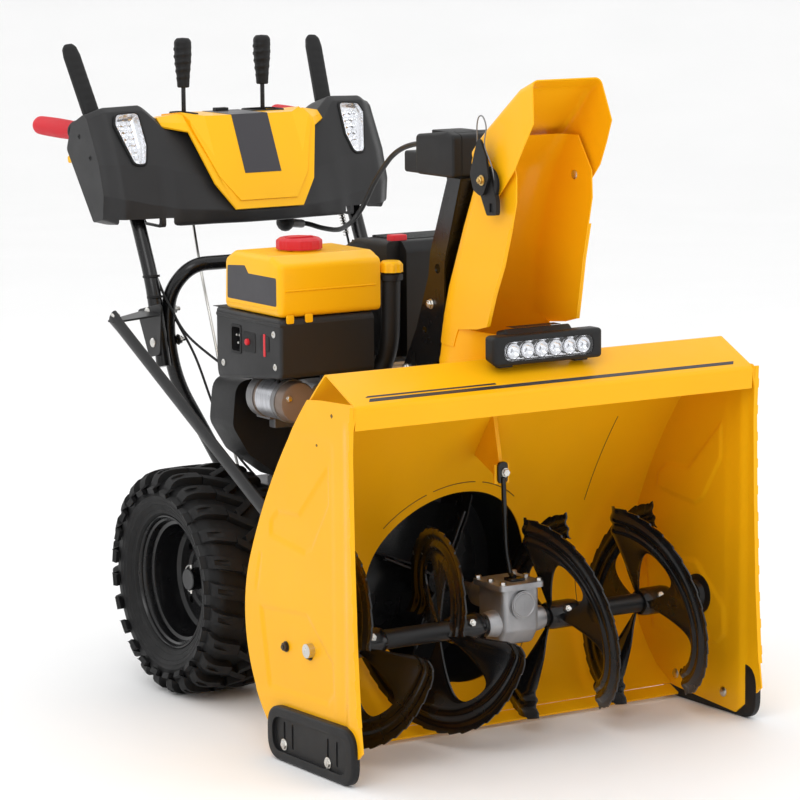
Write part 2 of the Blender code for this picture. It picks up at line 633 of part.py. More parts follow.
def make_deflector():
    """A hood over the chute's mouth: two cheeks and a sloping roof."""
    half = 0.0795
    thick = 0.0022
    roof = [(0.1620, 0.946), (0.1180, 0.9880), (-0.0020, 1.0860), (-0.0130, 1.0830)]
    under = [(0.1602, 0.9445), (0.1165, 0.9860), (-0.0025, 1.0832), (-0.0122, 1.0808)]
    cheek = [(0.1620, 0.946), (0.1180, 0.9880), (-0.0020, 1.0860), (-0.0130, 1.0830), (-0.0300, 1.018),
             (0.0110, 0.945), (0.0580, 0.8980), (0.0900, 0.8900), (0.1320, 0.905)]
    cheeks = [prism(cheek, "X", *sorted((side * (half - thick), side * half))) for side in (-1, 1)]
    arm = prism(rounded([(0.062, 0.898), (0.108, 0.898), (0.135, 0.960), (0.118, 0.985),
                         (0.070, 0.945)], 0.010), "X", -0.0835, -0.0790)
    _, y, z = DEFLECTOR_PIVOT
    bosses = [rod((side * 0.0790, y, z), (side * 0.0840, y, z), 0.007, 12) for side in (-1, 1)]
    corners = [prism([(side * 0.081, 0.1180), (side * 0.081, 0.1700), (side * 0.036, 0.1700)], "Z", 0.92, 1.05)
               for side in (-1, 1)]
    piece("deflector", "yellow_paint", "deflector", prism(roof + under[::-1], "X", -half, half),
          cheeks + [arm] + bosses, corners)


def make_chute_control():
    front = [(0.300, 0.610), (0.2865, 0.700), (0.2840, 0.775), (0.2360, 0.9115)]
    back = [(0.2740, 0.9115), (0.3270, 0.785), (0.3330, 0.745), (0.3700, 0.655), (0.4520, 0.520),
            (0.4535, 0.3975), (0.4430, 0.3975), (0.4400, 0.470), (0.3700, 0.5800)]
    outline = front + back
    web = prism(outline, "X", -0.034, -0.0305)
    spine = back[:6]
    spine_inner = offset_line(spine, -SHEET)
    flange = prism(spine + spine_inner[::-1], "X", -0.034, 0.034)
    other = prism(outline, "X", 0.0305, 0.034)
    cap = block((-0.034, 0.034), (0.238, 0.276), (0.9085, 0.9117))
    piece("chute_support", "black_paint", "snowblower", web, [flange, other, cap])
    body = prism(rounded([(0.238, 0.9125), (0.352, 0.9125), (0.352, 0.978), (0.262, 0.987),
                          (0.238, 0.982)], 0.010, 3), "X", -0.046, 0.046)
    rear = prism(rounded(rectangle(0.340, 0.398, 0.9125, 0.948), 0.006, 2), "X", -0.038, 0.038)
    piece("chute_head", "black_plastic", "snowblower", body, [rear])


CHUTE_CABLE = [(0.112, 0.990, 0.768), (0.132, 0.990, 0.766), (0.150, 0.965, 0.759), (0.155, 0.920, 0.760),
               (0.148, 0.870, 0.776), (0.135, 0.820, 0.798), (0.120, 0.770, 0.826), (0.104, 0.720, 0.858),
               (0.088, 0.665, 0.890), (0.070, 0.605, 0.918), (0.050, 0.540, 0.937), (0.032, 0.475, 0.949),
               (0.018, 0.415, 0.955), (0.010, 0.3530, 0.957)]


def smooth_route(points, steps):
    """A Catmull-Rom curve through a route's points."""
    spots = [Vector(point) for point in points]
    spots = [spots[0] * 2 - spots[1]] + spots + [spots[-1] * 2 - spots[-2]]
    result = []
    for before, start, end, after in zip(spots, spots[1:], spots[2:], spots[3:]):
        for k in range(steps):
            t = k / steps
            square = 2 * before - 5 * start + 4 * end - after
            cube = 3 * start - before - 3 * end + after
            result.append(0.5 * (2 * start + (end - before) * t + square * t * t + cube * t ** 3))
    return result + [spots[-2]]


def make_chute_cable():
    curve = bpy.data.curves.new("chute_cable", "CURVE")
    curve.dimensions = "3D"
    curve.bevel_depth = 0.0045
    curve.bevel_resolution = 2
    curve.use_fill_caps = True
    route = smooth_route(CHUTE_CABLE, 2)
    spline = curve.splines.new("POLY")
    spline.points.add(len(route) - 1)
    for point, spot in zip(spline.points, route):
        point.co = (*spot, 1.0)
    made = bpy.data.objects.new("chute_cable", curve)
    bpy.context.scene.collection.objects.link(made)
    curve.materials.append(material("black_plastic", BLACK_PLASTIC))
    made.parent = pivots["snowblower"][0]


# Engine

def make_engine():
    deck = block((-0.118, 0.118), (0.560, 0.720), (0.3525, 0.366))
    case = prism(rounded(rectangle(-0.105, 0.110, 0.366, 0.540), 0.020, 3), "Y", 0.5925, 0.6555)
    barrel = prism(rounded(rectangle(-0.060, 0.190, 0.470, 0.572), 0.015, 3), "Y", 0.545, 0.640)
    spout = bent([(-0.032, 0.570, 0.525), (-0.032, 0.505, 0.545), (-0.032, 0.455, 0.610),
                  (-0.032, 0.450, 0.742)], 0.04, 2)
    bore = rod((0, 0.50, CRANK_Z), (0, 0.600, CRANK_Z), 0.0135, 20)
    nose = prism(rounded(rectangle(-0.09, 0.09, 0.40, 0.50), 0.02, 3), "Y", 0.5405, 0.60)
    sump = block((-0.105, 0.110), (0.560, 0.600), (0.360, 0.4100))
    mouth = rod((-0.032, 0.450, 0.7405), (-0.032, 0.450, 0.780), 0.03, 12)
    piece("engine_block", "cast_metal", "snowblower", case,
          [deck, barrel, sump, nose, tube(spout, 0.0165, 10)], [bore, mouth])

    cowl = rounded([(-0.214, 0.548), (-0.222, 0.470), (-0.190, 0.418), (-0.120, 0.3675), (0.110, 0.3675),
                    (0.165, 0.430), (0.165, 0.580), (0.120, 0.640), (-0.046, 0.660), (-0.046, 0.548)],
                   0.030, 2)
    dome = turned([(0, 0), (0.105, 0), (0.105, 0.030), (0.092, 0.042), (0, 0.048)], (0, 0.742, 0.500),
                  (0, 1, 0), 24)
    piece("blower_housing", "black_plastic", "snowblower", prism(cowl, "Y", 0.6565, 0.745), [dome])

    tank = prism(rounded([(0.4445, 0.6785), (0.632, 0.6785), (0.628, 0.764), (0.600, 0.778), (0.480, 0.778),
                          (0.4445, 0.766)], 0.010, 3), "X", -0.250, -0.0480)
    trims = [rod((-0.156, 0.540, 0.770), (-0.156, 0.540, 0.7860), 0.033, 24)]
    notch = block((-0.0560, 0.0), (0.430, 0.4720), (0.66, 0.80))
    piece("fuel_tank", "yellow_paint", "snowblower", tank, trims, [notch])
    cap = turned([(0, 0), (0.041, 0), (0.041, 0.017), (0.036, 0.022), (0, 0.024)], (-0.156, 0.540, 0.7863),
                 (0, 0, 1), 24)
    piece("fuel_cap", "red_plastic", "fuel_cap", cap)

    box = prism(rounded([(0.4445, 0.578), (0.655, 0.5555), (0.687, 0.6780), (0.4445, 0.6780)], 0.012, 3), "X",
                -0.2515, -0.0560)
    button_bore = rod((-0.30, 0.5520, 0.6290), (-0.240, 0.5520, 0.6290), 0.0060, 16)
    inlet = block((-0.26, -0.242), (0.5780, 0.6040), (0.610, 0.650))
    piece("switch_box", "black_plastic", "snowblower", box, [],
          [button_bore, inlet, block((-0.0700, 0.0), (0.430, 0.4720), (0.54, 0.70)),
           block((-0.30, 0.0), (0.6555, 0.70), (0.50, 0.6766)),
           block((-0.2475, -0.03), (0.5400, 0.6555), (0.54, 0.5800))])
    piece("start_button", "red_plastic", "start_button",
          rod((-0.2550, 0.5520, 0.6290), (-0.2445, 0.5520, 0.6290), 0.0055, 16))

    starter = turned([(0, 0), (0.030, 0), (0.0365, 0.004), (0.0365, 0.020), (0.0350, 0.022), (0.0350, 0.092),
                      (0.0365, 0.094), (0.0365, 0.1140), (0, 0.1140)], (-0.197, 0.478, 0.531), (0, 1, 0), 24)
    lug = block((-0.175, -0.1060), (0.5950, 0.6150), (0.470, 0.530))
    starter_foot = block((-0.200, -0.170), (0.5700, 0.6150), (0.490, 0.530))
    piece("starter_motor", "starter_paint", "snowblower", starter, [lug, starter_foot])

    heater = prism(rounded([(0.475, 0.590), (0.640, 0.585), (0.640, 0.765), (0.600, 0.783), (0.490, 0.786),
                            (0.475, 0.770)], 0.010, 3), "X", -0.0120, 0.195)
    piece("heater_box", "black_plastic", "snowblower", heater,
          [block((0.004, 0.034), (0.500, 0.522), (0.780, 0.795))],
          [block((-0.020, 0.0150), (0.46, 0.4950), (0.56, 0.80))])
    piece("dipstick", "yellow_paint", "dipstick",
          turned([(0, 0), (0.0205, 0), (0.0205, 0.014), (0.016, 0.019), (0, 0.019)], (-0.032, 0.450, 0.7410),
                 (0, 0, 1), 20))
    handle = bent([(-0.055, 0.803, 0.560), (0.0, 0.808, 0.560), (0.055, 0.803, 0.560)], 0.03, 2)
    piece("recoil_handle", "black_plastic", "recoil_handle", tube(handle, 0.0095, 10))


# Handles

def make_handles():
    right = [(-0.1380, 0.770, 0.300), (-0.1380, 0.822, 0.352), (-0.1500, 0.872, 0.415),
             (-0.185, 0.915, 0.510), (-HOOP_X, 0.926, 0.590), (-HOOP_X, 0.918, 0.672),
             (-0.1700, 0.885, 0.722)]
    path = right + mirrored(right)[::-1]
    piece("handle_hoop", "black_paint", "snowblower", tube(bent(path, 0.045, 2), TUBE, 8))

    side_path = [(-HANDLE_X, 0.893, 0.545), (-HANDLE_X, 0.9300, 0.690), (-HANDLE_X, 0.985, 0.805),
                 (-0.235, 1.060, 0.925), (-0.240, 1.110, 0.9400), (-0.2490, 1.2885, 0.9440)]
    right_tube = tube(bent(side_path, 0.035, 2), TUBE, 8)
    left_tube = tube(bent(mirrored(side_path), 0.035, 2), TUBE, 8)
    cross = tube([Vector((-0.226, 1.020, 0.860)), Vector((0.226, 1.020, 0.860))], 0.009, 10)
    piece("upper_handle", "black_paint", "snowblower", cross, [right_tube, left_tube])

    for name, side in SIDES:
        tip = Vector((side * 0.2490, 1.2885, 0.9440))
        ahead = (tip - Vector((side * 0.240, 1.110, 0.9400))).normalized()
        start = tip - ahead * 0.130
        grip = turned([(TUBE + RUNNING, 0), (0.0190, 0), (0.0190, 0.006), (0.0165, 0.010), (0.0170, 0.065),
                       (0.0165, 0.1350), (0.0130, 0.1400), (0, 0.1400), (0, 0.1315),
                       (TUBE + RUNNING, 0.1315)], start, ahead, 16)
        piece(f"grip_{name}", "red_plastic", "snowblower", grip)

        low = Vector((side * BRACE_X, 0.318, 0.374))
        high = Vector((side * BRACE_X, 0.846, 0.6465))
        bar = tube([low, high], 0.0125, 12, 0.55)
        foot = block(sorted((side * 0.330, side * 0.362)), (0.3030, 0.330), (0.355, 0.392))
        wing_outline = [(side * (HANDLE_X + 0.0160), 0.935), (side * (HANDLE_X + 0.0160), 0.868),
                        (side * 0.354, 0.826), (side * 0.354, 0.852)]
        wing = prism(wing_outline, "Z", 0.638, 0.6415)
        cheek_outline = rounded([(0.876, 0.570), (0.915, 0.560), (0.958, 0.640), (0.868, 0.660)], 0.010, 2)
        cheek = prism(cheek_outline, "X", *sorted((side * (HANDLE_X + 0.0135), side * (HANDLE_X + 0.0170))))
        piece(f"brace_{name}", "black_paint", "snowblower", bar, [foot, wing, cheek],
              [housing_interior(0.0014)])


# Panel

def panel_sections():
    """(x, then (y, z) points going round the section from the front foot)."""
    centre = [(0.905, 0.786), (0.902, 0.806), (0.930, 0.867), (0.975, 0.950), (1.000, 0.961),
              (1.075, 0.950), (1.105, 0.905), (1.000, 0.786)]
    shoulder = [(0.915, 0.786), (0.912, 0.812), (0.938, 0.869), (0.984, 0.953), (1.006, 0.963),
                (1.075, 0.952), (1.106, 0.905), (1.000, 0.786)]
    valley = [(0.925, 0.785), (0.924, 0.815), (0.945, 0.880), (0.985, 0.950), (1.010, 0.966),
              (1.078, 0.956), (1.108, 0.907), (1.003, 0.785)]
    lobe_inner = [(0.936, 0.783), (0.938, 0.822), (0.958, 0.892), (1.004, 0.985), (1.018, 0.994),
                  (1.076, 0.978), (1.110, 0.912), (1.006, 0.784)]
    lobe_outer = [(0.948, 0.788), (0.947, 0.835), (0.965, 0.894), (1.012, 0.984), (1.026, 0.992),
                  (1.080, 0.975), (1.110, 0.915), (1.010, 0.786)]
    rim = [(0.976, 0.800), (0.972, 0.842), (0.988, 0.895), (1.030, 0.972), (1.042, 0.980),
           (1.090, 0.960), (1.108, 0.915), (1.012, 0.792)]
    right = [(-0.293, rim), (-0.262, lobe_outer), (-0.198, lobe_inner), (-0.160, valley), (-0.105, shoulder),
             (-0.040, centre)]
    return right + [(-x, ring) for x, ring in right[::-1]]


def make_panel():
    rings = [[(x, y, z) for y, z in ring] for x, ring in panel_sections()]
    body = loft(rings)
    inside = [[(x * 0.965, 1.018 + (y - 1.018) * 0.90, 0.880 + (z - 0.880) * 0.90 - 0.006) for y, z in ring]
              for x, ring in panel_sections()]
    slots = []
    for (x, y, z), wide, deep in ((SPEED_PIVOT, 0.012, 0.036), (JOYSTICK_PIVOT, 0.030, 0.030)):
        slots.append(block((x - wide, x + wide), (y - deep, y + deep), (0.93, 1.02)))
    openings = []
    for side in (-1, 1):
        openings.append(block(sorted((side * 0.198, side * 0.272)), (0.935, 1.25), (0.70, 0.800)))
        openings.append(block(sorted((side * 0.2150, side * 0.290)), (1.050, 1.25), (0.870, 1.05)))
    under = block((-0.190, 0.190), (0.930, 1.15), (0.70, 0.800))
    piece("panel", "grey_plastic", "snowblower", body, [], [loft(inside)] + slots + openings + [under])

    lines = {0.138: [(0.927, 0.891), (0.977, 0.964), (1.000, 0.9795), (1.072, 0.968)],
             0.104: [(0.912, 0.846), (0.929, 0.885), (0.975, 0.970), (1.072, 0.970)],
             0.069: [(0.897, 0.812), (0.918, 0.868), (0.966, 0.970), (1.072, 0.970)]}
    rings = []
    for x in (-0.138, -0.104, -0.069, 0.069, 0.104, 0.138):
        top = lines[abs(x)]
        below = offset_line(top, -0.004)
        rings.append([(x, y, z) for y, z in top + below[::-1]])
    cover_slots = []
    for (x, y, z), wide, deep in ((SPEED_PIVOT, 0.010, 0.032), (JOYSTICK_PIVOT, 0.026, 0.024)):
        cover_slots.append(block((x - wide, x + wide), (y - deep, y + deep), (0.93, 1.02)))
    piece("panel_cover", "yellow_paint", "snowblower", loft(rings), [], cover_slots)


def make_controls():
    for name, side, label in (("right", -1, "drive_clutch_lever"), ("left", 1, "auger_clutch_lever")):
        x, y, z = LEVER_PIVOT
        foot = Vector((side * x, y + 0.006, z + 0.004))
        tip = Vector((side * (x + 0.0140), y + 0.0720, z + 0.1370))
        axis = (tip - foot).normalized()
        across = Vector((1, 0, 0))
        deep = axis.cross(across).normalized()
        across = deep.cross(axis)
        rings = []
        for t, wide, thick in ((0, 0.012, 0.007), (0.12, 0.0165, 0.010), (0.85, 0.0165, 0.0085),
                               (0.97, 0.013, 0.007), (1.0, 0.008, 0.004)):
            spot = foot + axis * (tip - foot).length * t
            rings.append([spot + across * wide * math.cos(a) + deep * thick * math.sin(a)
                          for a in (2 * math.pi * k / 12 for k in range(12))])
        hinge = rod((side * x - 0.0120, y, z), (side * x + 0.0120, y, z), 0.0075, 14)
        piece(label, "black_plastic", label, loft(rings), [hinge])

        tx, ty, tz = TRIGGER_PIVOT
        trigger = prism(rounded([(ty - 0.008, tz - 0.006), (ty + 0.008, tz - 0.010), (ty + 0.056, tz - 0.026),
                                 (ty + 0.060, tz - 0.014), (ty + 0.010, tz + 0.008)], 0.004, 2), "X",
                        *sorted((side * (tx - 0.006), side * (tx + 0.006))))
        piece(f"steering_trigger_{name}", "yellow_paint", f"trigger_{name}", trigger)

    def stick(x, y, z):
        shank = tube([Vector((x, y, z)), Vector((x, y, 1.022))], 0.0040, 10)
        grip = turned([(0, 0), (0.0105, 0.001), (0.0120, 0.020), (0.0155, 0.052), (0.0160, 0.080),
                       (0.0130, 0.088), (0, 0.089)], (x, y, 1.0190), (0, 0, 1), 16)
        return shank, grip

    for name, (x, y, z) in (("speed_lever", SPEED_PIVOT), ("joystick", JOYSTICK_PIVOT)):
        shank, grip = stick(x, y, z)
        hinge = rod((x - 0.009, y, z), (x + 0.009, y, z), 0.0075, 14)
        piece(name, "black_plastic", name, shank, [grip, hinge])

    yoke = block((x - 0.0160, x + 0.0160), (y - 0.013, y + 0.013), (z - 0.020, z + 0.011))
    hollow = block((x - 0.0105, x + 0.0105), (y - 0.030, y + 0.030), (z - 0.0120, z + 0.03))
    trunnion_z = YOKE_PIVOT[2]
    trunnion = rod((x, y - 0.026, trunnion_z), (x, y + 0.026, trunnion_z), 0.0045, 12)
    piece("joystick_yoke", "black_plastic", "joystick_yoke", yoke, [trunnion], [hollow])


def main():
    clear_scene()
    pivot("snowblower", (0, 0, 0))
    pivots["snowblower"][0].location = (0, -MIDDLE_Y, -GROUND_Z)
    joints = {"auger": (0, AUGER_Y, AUGER_Z), "impeller": (0, DRUM_REAR, IMPELLER_Z),
              "crank": (0, 0.5, CRANK_Z), "friction_disc": (0, 0.52, DISC_Z),
              "friction_wheel": (0, 0.600, DISC_Z),
              "wheel_right": (-WHEEL_X, WHEEL_Y, WHEEL_Z), "wheel_left": (WHEEL_X, WHEEL_Y, WHEEL_Z),
              "chute": CHUTE_BASE, "fuel_cap": (-0.156, 0.540, 0.786), "dipstick": (-0.032, 0.450, 0.741),
              "start_button": (-0.2550, 0.5520, 0.6290), "recoil_handle": (0.0, 0.808, 0.560),
              "drive_clutch_lever": (-LEVER_PIVOT[0], *LEVER_PIVOT[1:]), "auger_clutch_lever": LEVER_PIVOT,
              "trigger_right": (-TRIGGER_PIVOT[0], *TRIGGER_PIVOT[1:]), "trigger_left": TRIGGER_PIVOT,
              "speed_lever": SPEED_PIVOT, "joystick_yoke": YOKE_PIVOT}
    for name, place in joints.items():
        pivot(name, place, "snowblower")
    pivot("deflector", DEFLECTOR_PIVOT, "chute")
    pivot("joystick", JOYSTICK_PIVOT, "joystick_yoke")
    bpy.context.view_layer.update()

    make_housing()
    make_chute_adapter()
    make_light_bar()
    make_augers()
    make_gearbox()
    make_impeller()
    make_crank()
    make_drive()
    make_wheels()
    make_chute()
    make_deflector()
    make_chute_control()
    make_chute_cable()
    make_engine()
    make_handles()
    make_panel()
    make_controls()


main()
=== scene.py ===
import math

import bmesh
import bpy
from mathutils import Matrix, Vector


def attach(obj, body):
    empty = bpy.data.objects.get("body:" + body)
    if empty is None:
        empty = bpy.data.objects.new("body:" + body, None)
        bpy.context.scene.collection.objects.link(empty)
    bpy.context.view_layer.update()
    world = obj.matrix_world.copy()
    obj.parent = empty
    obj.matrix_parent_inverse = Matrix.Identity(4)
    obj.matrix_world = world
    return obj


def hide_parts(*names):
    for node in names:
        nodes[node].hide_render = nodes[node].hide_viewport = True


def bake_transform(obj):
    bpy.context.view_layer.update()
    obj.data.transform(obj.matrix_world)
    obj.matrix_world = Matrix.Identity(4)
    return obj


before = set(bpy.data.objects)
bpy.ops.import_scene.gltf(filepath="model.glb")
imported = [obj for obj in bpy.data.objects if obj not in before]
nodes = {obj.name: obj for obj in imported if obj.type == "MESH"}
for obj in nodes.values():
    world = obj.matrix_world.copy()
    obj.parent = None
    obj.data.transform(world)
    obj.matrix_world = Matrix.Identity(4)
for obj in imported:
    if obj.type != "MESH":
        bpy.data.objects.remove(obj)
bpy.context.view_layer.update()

# Every shape is drawn in the hood frame, whose Y = 0 is the front fold of the hood. Its X is the
# machine's left, and the ground lies at Z = GROUND_Z. build() moves each piece to the CAD frame.
MIDDLE_Y = 0.6346
GROUND_Z = 0.006

# Sizes and axes shared by several pieces, all in metres
SHEET = 0.003
HOUSING_HALF = 0.3825
AUGER_Y = 0.14
AUGER_Z = 0.197
IMPELLER_Z = 0.229
CRANK_Z = 0.43
CHUTE_TILT = math.radians(12)
CHUTE_BASE = (0.0, 0.198, 0.598)
DEFLECTOR_PIVOT = (0.0, 0.086, 0.924)
WHEEL = (0.249, 0.718, 0.201)
WASHER = 0.0012
HANDLE_RADIUS = 0.0127
RIBBON_TURN = 170
LUG_PITCH = 15
SIDES = (("right", -1), ("left", 1))


# Outlines

def arc(start, end, bulge, steps):
    """Points after start up to end on a round arc whose middle stands off to the left by bulge."""
    chord = Vector(end) - Vector(start)
    half = chord.length / 2
    radius = (half * half + bulge * bulge) / (2 * abs(bulge))
    side = Vector((-chord.y, chord.x)).normalized() * (1 if bulge > 0 else -1)
    centre = Vector(start) + chord / 2 + side * (abs(bulge) - radius)
    first = math.atan2(start[1] - centre.y, start[0] - centre.x)
    turn = -2 * math.asin(half / radius) * (1 if bulge > 0 else -1)
    return [(centre.x + radius * math.cos(first + turn * i / steps),
        centre.y + radius * math.sin(first + turn * i / steps)) for i in range(1, steps + 1)]


def offset_line(points, distance):
    """An open line moved to its left by distance, mitred at its corners."""
    result = []
    for i, point in enumerate(points):
        before = Vector(points[max(i - 1, 0)])
        here = Vector(point)
        after = Vector(points[min(i + 1, len(points) - 1)])
        ahead = (after - here).normalized() if after != here else (here - before).normalized()
        behind = (here - before).normalized() if before != here else ahead
        normal = Vector((-(ahead + behind).y, (ahead + behind).x)).normalized()
        reach = distance / normal.dot(Vector((-ahead.y, ahead.x)))
        result.append(tuple(here + normal * reach))
    return result


class Outline(list):
    """A closed outline that remembers the sharp corners it was rounded from."""


def rounded(points, radius, steps=5):
    """A closed outline with each corner rounded."""
    result = Outline()
    result.made_from = (list(points), radius, steps)
    count = len(points)
    for i in range(count):
        here = Vector(points[i])
        to_last = Vector(points[i - 1]) - here
        to_next = Vector(points[(i + 1) % count]) - here
        angle = to_last.angle(to_next)
        back = min(radius / math.tan(angle / 2), to_last.length * 0.45, to_next.length * 0.45)
        start = here + to_last.normalized() * back
        end = here + to_next.normalized() * back
        for k in range(steps + 1):
            t = k / steps
            result.append(tuple(start * (1 - t) ** 2 + here * 2 * t * (1 - t) + end * t * t))
    return result


def shrunk(points, distance):
    """A closed outline moved inwards by distance."""
    if isinstance(points, Outline):
        corners, radius, steps = points.made_from
        return rounded(shrunk(corners, distance), max(radius - distance, 0.0006), steps)
    area = sum(a[0] * b[1] - b[0] * a[1] for a, b in zip(points, points[1:] + points[:1]))
    sign = 1 if area > 0 else -1
    result = []
    for i, point in enumerate(points):
        here = Vector(point)
        ahead = (Vector(points[(i + 1) % len(points)]) - here).normalized()
        behind = (here - Vector(points[i - 1])).normalized()
        normal = Vector((-(ahead + behind).y, (ahead + behind).x)).normalized()
        reach = distance / max(normal.dot(Vector((-ahead.y, ahead.x))), 0.3)
        result.append(tuple(here + normal * reach * sign))
    return result


def rectangle(low_a, high_a, low_b, high_b):
    """The four corners of a rectangle."""
    return [(low_a, low_b), (high_a, low_b), (high_a, high_b), (low_a, high_b)]


def lerp(a, b, t):
    """A value between a and b."""
    return a + (b - a) * t


def along_table(table, at):
    """Straight-line reading of a table of (key, value) pairs with rising keys."""
    if at <= table[0][0]:
        return table[0][1]
    for (k0, v0), (k1, v1) in zip(table, table[1:]):
        if at <= k1:
            return lerp(v0, v1, (at - k0) / max(k1 - k0, 1e-9))
    return table[-1][1]


def step(t):
    """A smooth rise from 0 to 1."""
    t = min(max(t, 0.0), 1.0)
    return t * t * (3 - 2 * t)


def inside_by(point, polygon):
    """How far a point lies inside a polygon, negative outside."""
    x, y = point
    best = 1e9
    inside = False
    for (x0, y0), (x1, y1) in zip(polygon, polygon[1:] + polygon[:1]):
        if (y0 > y) != (y1 > y) and x < (x1 - x0) * (y - y0) / (y1 - y0) + x0:
            inside = not inside
        dx, dy = x1 - x0, y1 - y0
        t = min(max(((x - x0) * dx + (y - y0) * dy) / (dx * dx + dy * dy), 0), 1)
        best = min(best, math.hypot(x - x0 - t * dx, y - y0 - t * dy))
    return best if inside else -best


# Solids

def closed(mesh):
    """Fix the face directions and return the closed mesh."""
    bmesh.ops.remove_doubles(mesh, verts=mesh.verts, dist=1e-7)
    bmesh.ops.recalc_face_normals(mesh, faces=mesh.faces)
    return mesh


def loft(rings, hollow=False):
    """A skin through rings of points; the ends are capped, or joined to each other when hollow."""
    mesh = bmesh.new()
    rows = [[mesh.verts.new(point) for point in ring] for ring in rings]
    count = len(rows[0])
    pairs = list(zip(rows, rows[1:])) + ([(rows[-1], rows[0])] if hollow else [])
    for first, second in pairs:
        for i in range(count):
            j = (i + 1) % count
            mesh.faces.new((first[i], first[j], second[j], second[i]))
    if not hollow:
        mesh.faces.new(rows[0])
        mesh.faces.new(rows[-1][::-1])
    return closed(mesh)


def prism(outline, axis, low, high):
    """An outline in the two other axes, in X, Y, Z order, pushed along an axis."""
    places = {"X": lambda a, b, c: (c, a, b), "Y": lambda a, b, c: (a, c, b), "Z": lambda a, b, c: (a, b, c)}
    return loft([[places[axis](a, b, end) for a, b in outline] for end in (low, high)])


def pillow(outline, axis, low, high, edge, back_edge=0.0):
    """A prism with a rounded edge at its high end, and at its low end if back_edge is given."""
    places = {"X": lambda a, b, c: (c, a, b), "Y": lambda a, b, c: (a, c, b), "Z": lambda a, b, c: (a, b, c)}
    sign = 1 if high > low else -1
    rings = []
    if back_edge:
        for k in range(4):
            a = math.pi / 2 * k / 4
            rings.append((back_edge * (1 - math.sin(a)), low + sign * back_edge * (1 - math.cos(a))))
        rings.append((0.0, low + sign * back_edge))
    else:
        rings.append((0.0, low))
    for k in range(5):
        a = math.pi / 2 * k / 4
        rings.append((edge * (1 - math.cos(a)), high - sign * edge * (1 - math.sin(a))))
    return loft([[places[axis](a, b, c) for a, b in shrunk(outline, inset)] for inset, c in rings])


def block(x, y, z):
    """A box between three pairs of limits."""
    return prism(rectangle(*x, *y), "Z", *z)


def basis(direction):
    """A direction with two others square to it."""
    ahead = Vector(direction).normalized()
    helper = Vector((0, 0, 1)) if abs(ahead.z) < 0.9 else Vector((1, 0, 0))
    side = ahead.cross(helper).normalized()
    return ahead, side, side.cross(ahead)


def turned(profile, origin, direction, steps=48, wave=None):
    """A closed (radius, along) profile turned about an axis. wave(angle, radius, along) scales the radius."""
    ahead, side, up = basis(direction)
    mesh = bmesh.new()
    rows = []
    for radius, along in profile:
        centre = Vector(origin) + ahead * along
        if radius < 1e-6:
            rows.append([mesh.verts.new(centre)] * steps)
            continue
        row = []
        for i in range(steps):
            a = 2 * math.pi * i / steps
            r = radius * (wave(a, radius, along) if wave else 1.0)
            row.append(mesh.verts.new(centre + side * r * math.cos(a) + up * r * math.sin(a)))
        rows.append(row)
    for first, second in zip(rows, rows[1:] + rows[:1]):
        for i in range(steps):
            j = (i + 1) % steps
            corners = list(dict.fromkeys((first[i], first[j], second[j], second[i])))
            if len(corners) > 2:
                mesh.faces.new(corners)
    return closed(mesh)


def rod(start, end, radius, steps=24, edge=0.0):
    """A plain round rod with an optional chamfer."""
    length = (Vector(end) - Vector(start)).length
    edge = min(edge, radius * 0.6, length * 0.4)
    profile = [(0, 0), (radius - edge, 0), (radius, edge), (radius, length - edge), (radius - edge, length),
        (0, length)] if edge else [(0, 0), (radius, 0), (radius, length), (0, length)]
    return turned(profile, start, Vector(end) - Vector(start), steps)


def pipe(start, end, radius, bore, steps=32):
    """A round tube with a bore."""
    length = (Vector(end) - Vector(start)).length
    return turned([(bore, 0), (radius, 0), (radius, length), (bore, length)], start,
        Vector(end) - Vector(start), steps)


def bent(points, bend, steps=6):
    """An open path in space with its corners rounded."""
    path = [Vector(points[0])]
    for before, here, after in zip(points, points[1:], points[2:]):
        here = Vector(here)
        back = Vector(before) - here
        ahead = Vector(after) - here
        reach = min(bend, back.length * 0.48, ahead.length * 0.48)
        start = here + back.normalized() * reach
        end = here + ahead.normalized() * reach
        path += [start * (1 - t) ** 2 + here * 2 * t * (1 - t) + end * t * t for t
            in (k / steps for k in range(steps + 1))]
    return path + [Vector(points[-1])]


def smooth_route(points, steps=8):
    """A Catmull-Rom curve through a route's points."""
    spots = [Vector(point) for point in points]
    spots = [spots[0] * 2 - spots[1]] + spots + [spots[-1] * 2 - spots[-2]]
    result = []
    for before, start, end, after in zip(spots, spots[1:], spots[2:], spots[3:]):
        for k in range(steps):
            t = k / steps
            square = 2 * before - 5 * start + 4 * end - after
            cube = 3 * start - before - 3 * end + after
            result.append(0.5 * (2 * start + (end - before) * t + square * t * t + cube * t ** 3))
    return result + [spots[-2]]


def tube(path, radius, steps=16, flat=1.0, taper=None):
    """A round bar along a path; flat squeezes the section, taper(t) scales it along the path."""
    path = [Vector(point) for point in path]
    ends = [path[0]] + path + [path[-1]]
    tangents = [(after - before).normalized() for before, after in zip(ends, ends[2:])]
    _, side, _ = basis(tangents[0])
    rings = []
    for number, (point, ahead) in enumerate(zip(path, tangents)):
        side = (side - ahead * side.dot(ahead)).normalized()
        up = side.cross(ahead)
        r = radius * (taper(number / (len(path) - 1)) if taper else 1.0)
        rings.append([point + side * r * flat * math.cos(2 * math.pi * i / steps) + up * r
            * math.sin(2 * math.pi * i / steps) for i in range(steps)])
    return loft(rings)


def coil(start, end, radius, wire, turns):
    """A helical spring between two points."""
    ahead, side, up = basis(Vector(end) - Vector(start))
    length = (Vector(end) - Vector(start)).length
    count = int(turns * 14)
    path = []
    for i in range(count + 1):
        a = 2 * math.pi * turns * i / count
        path.append(Vector(start) + ahead * length * i / count + (side * math.cos(a) + up * math.sin(a))
            * radius)
    return tube(path, wire, 8)


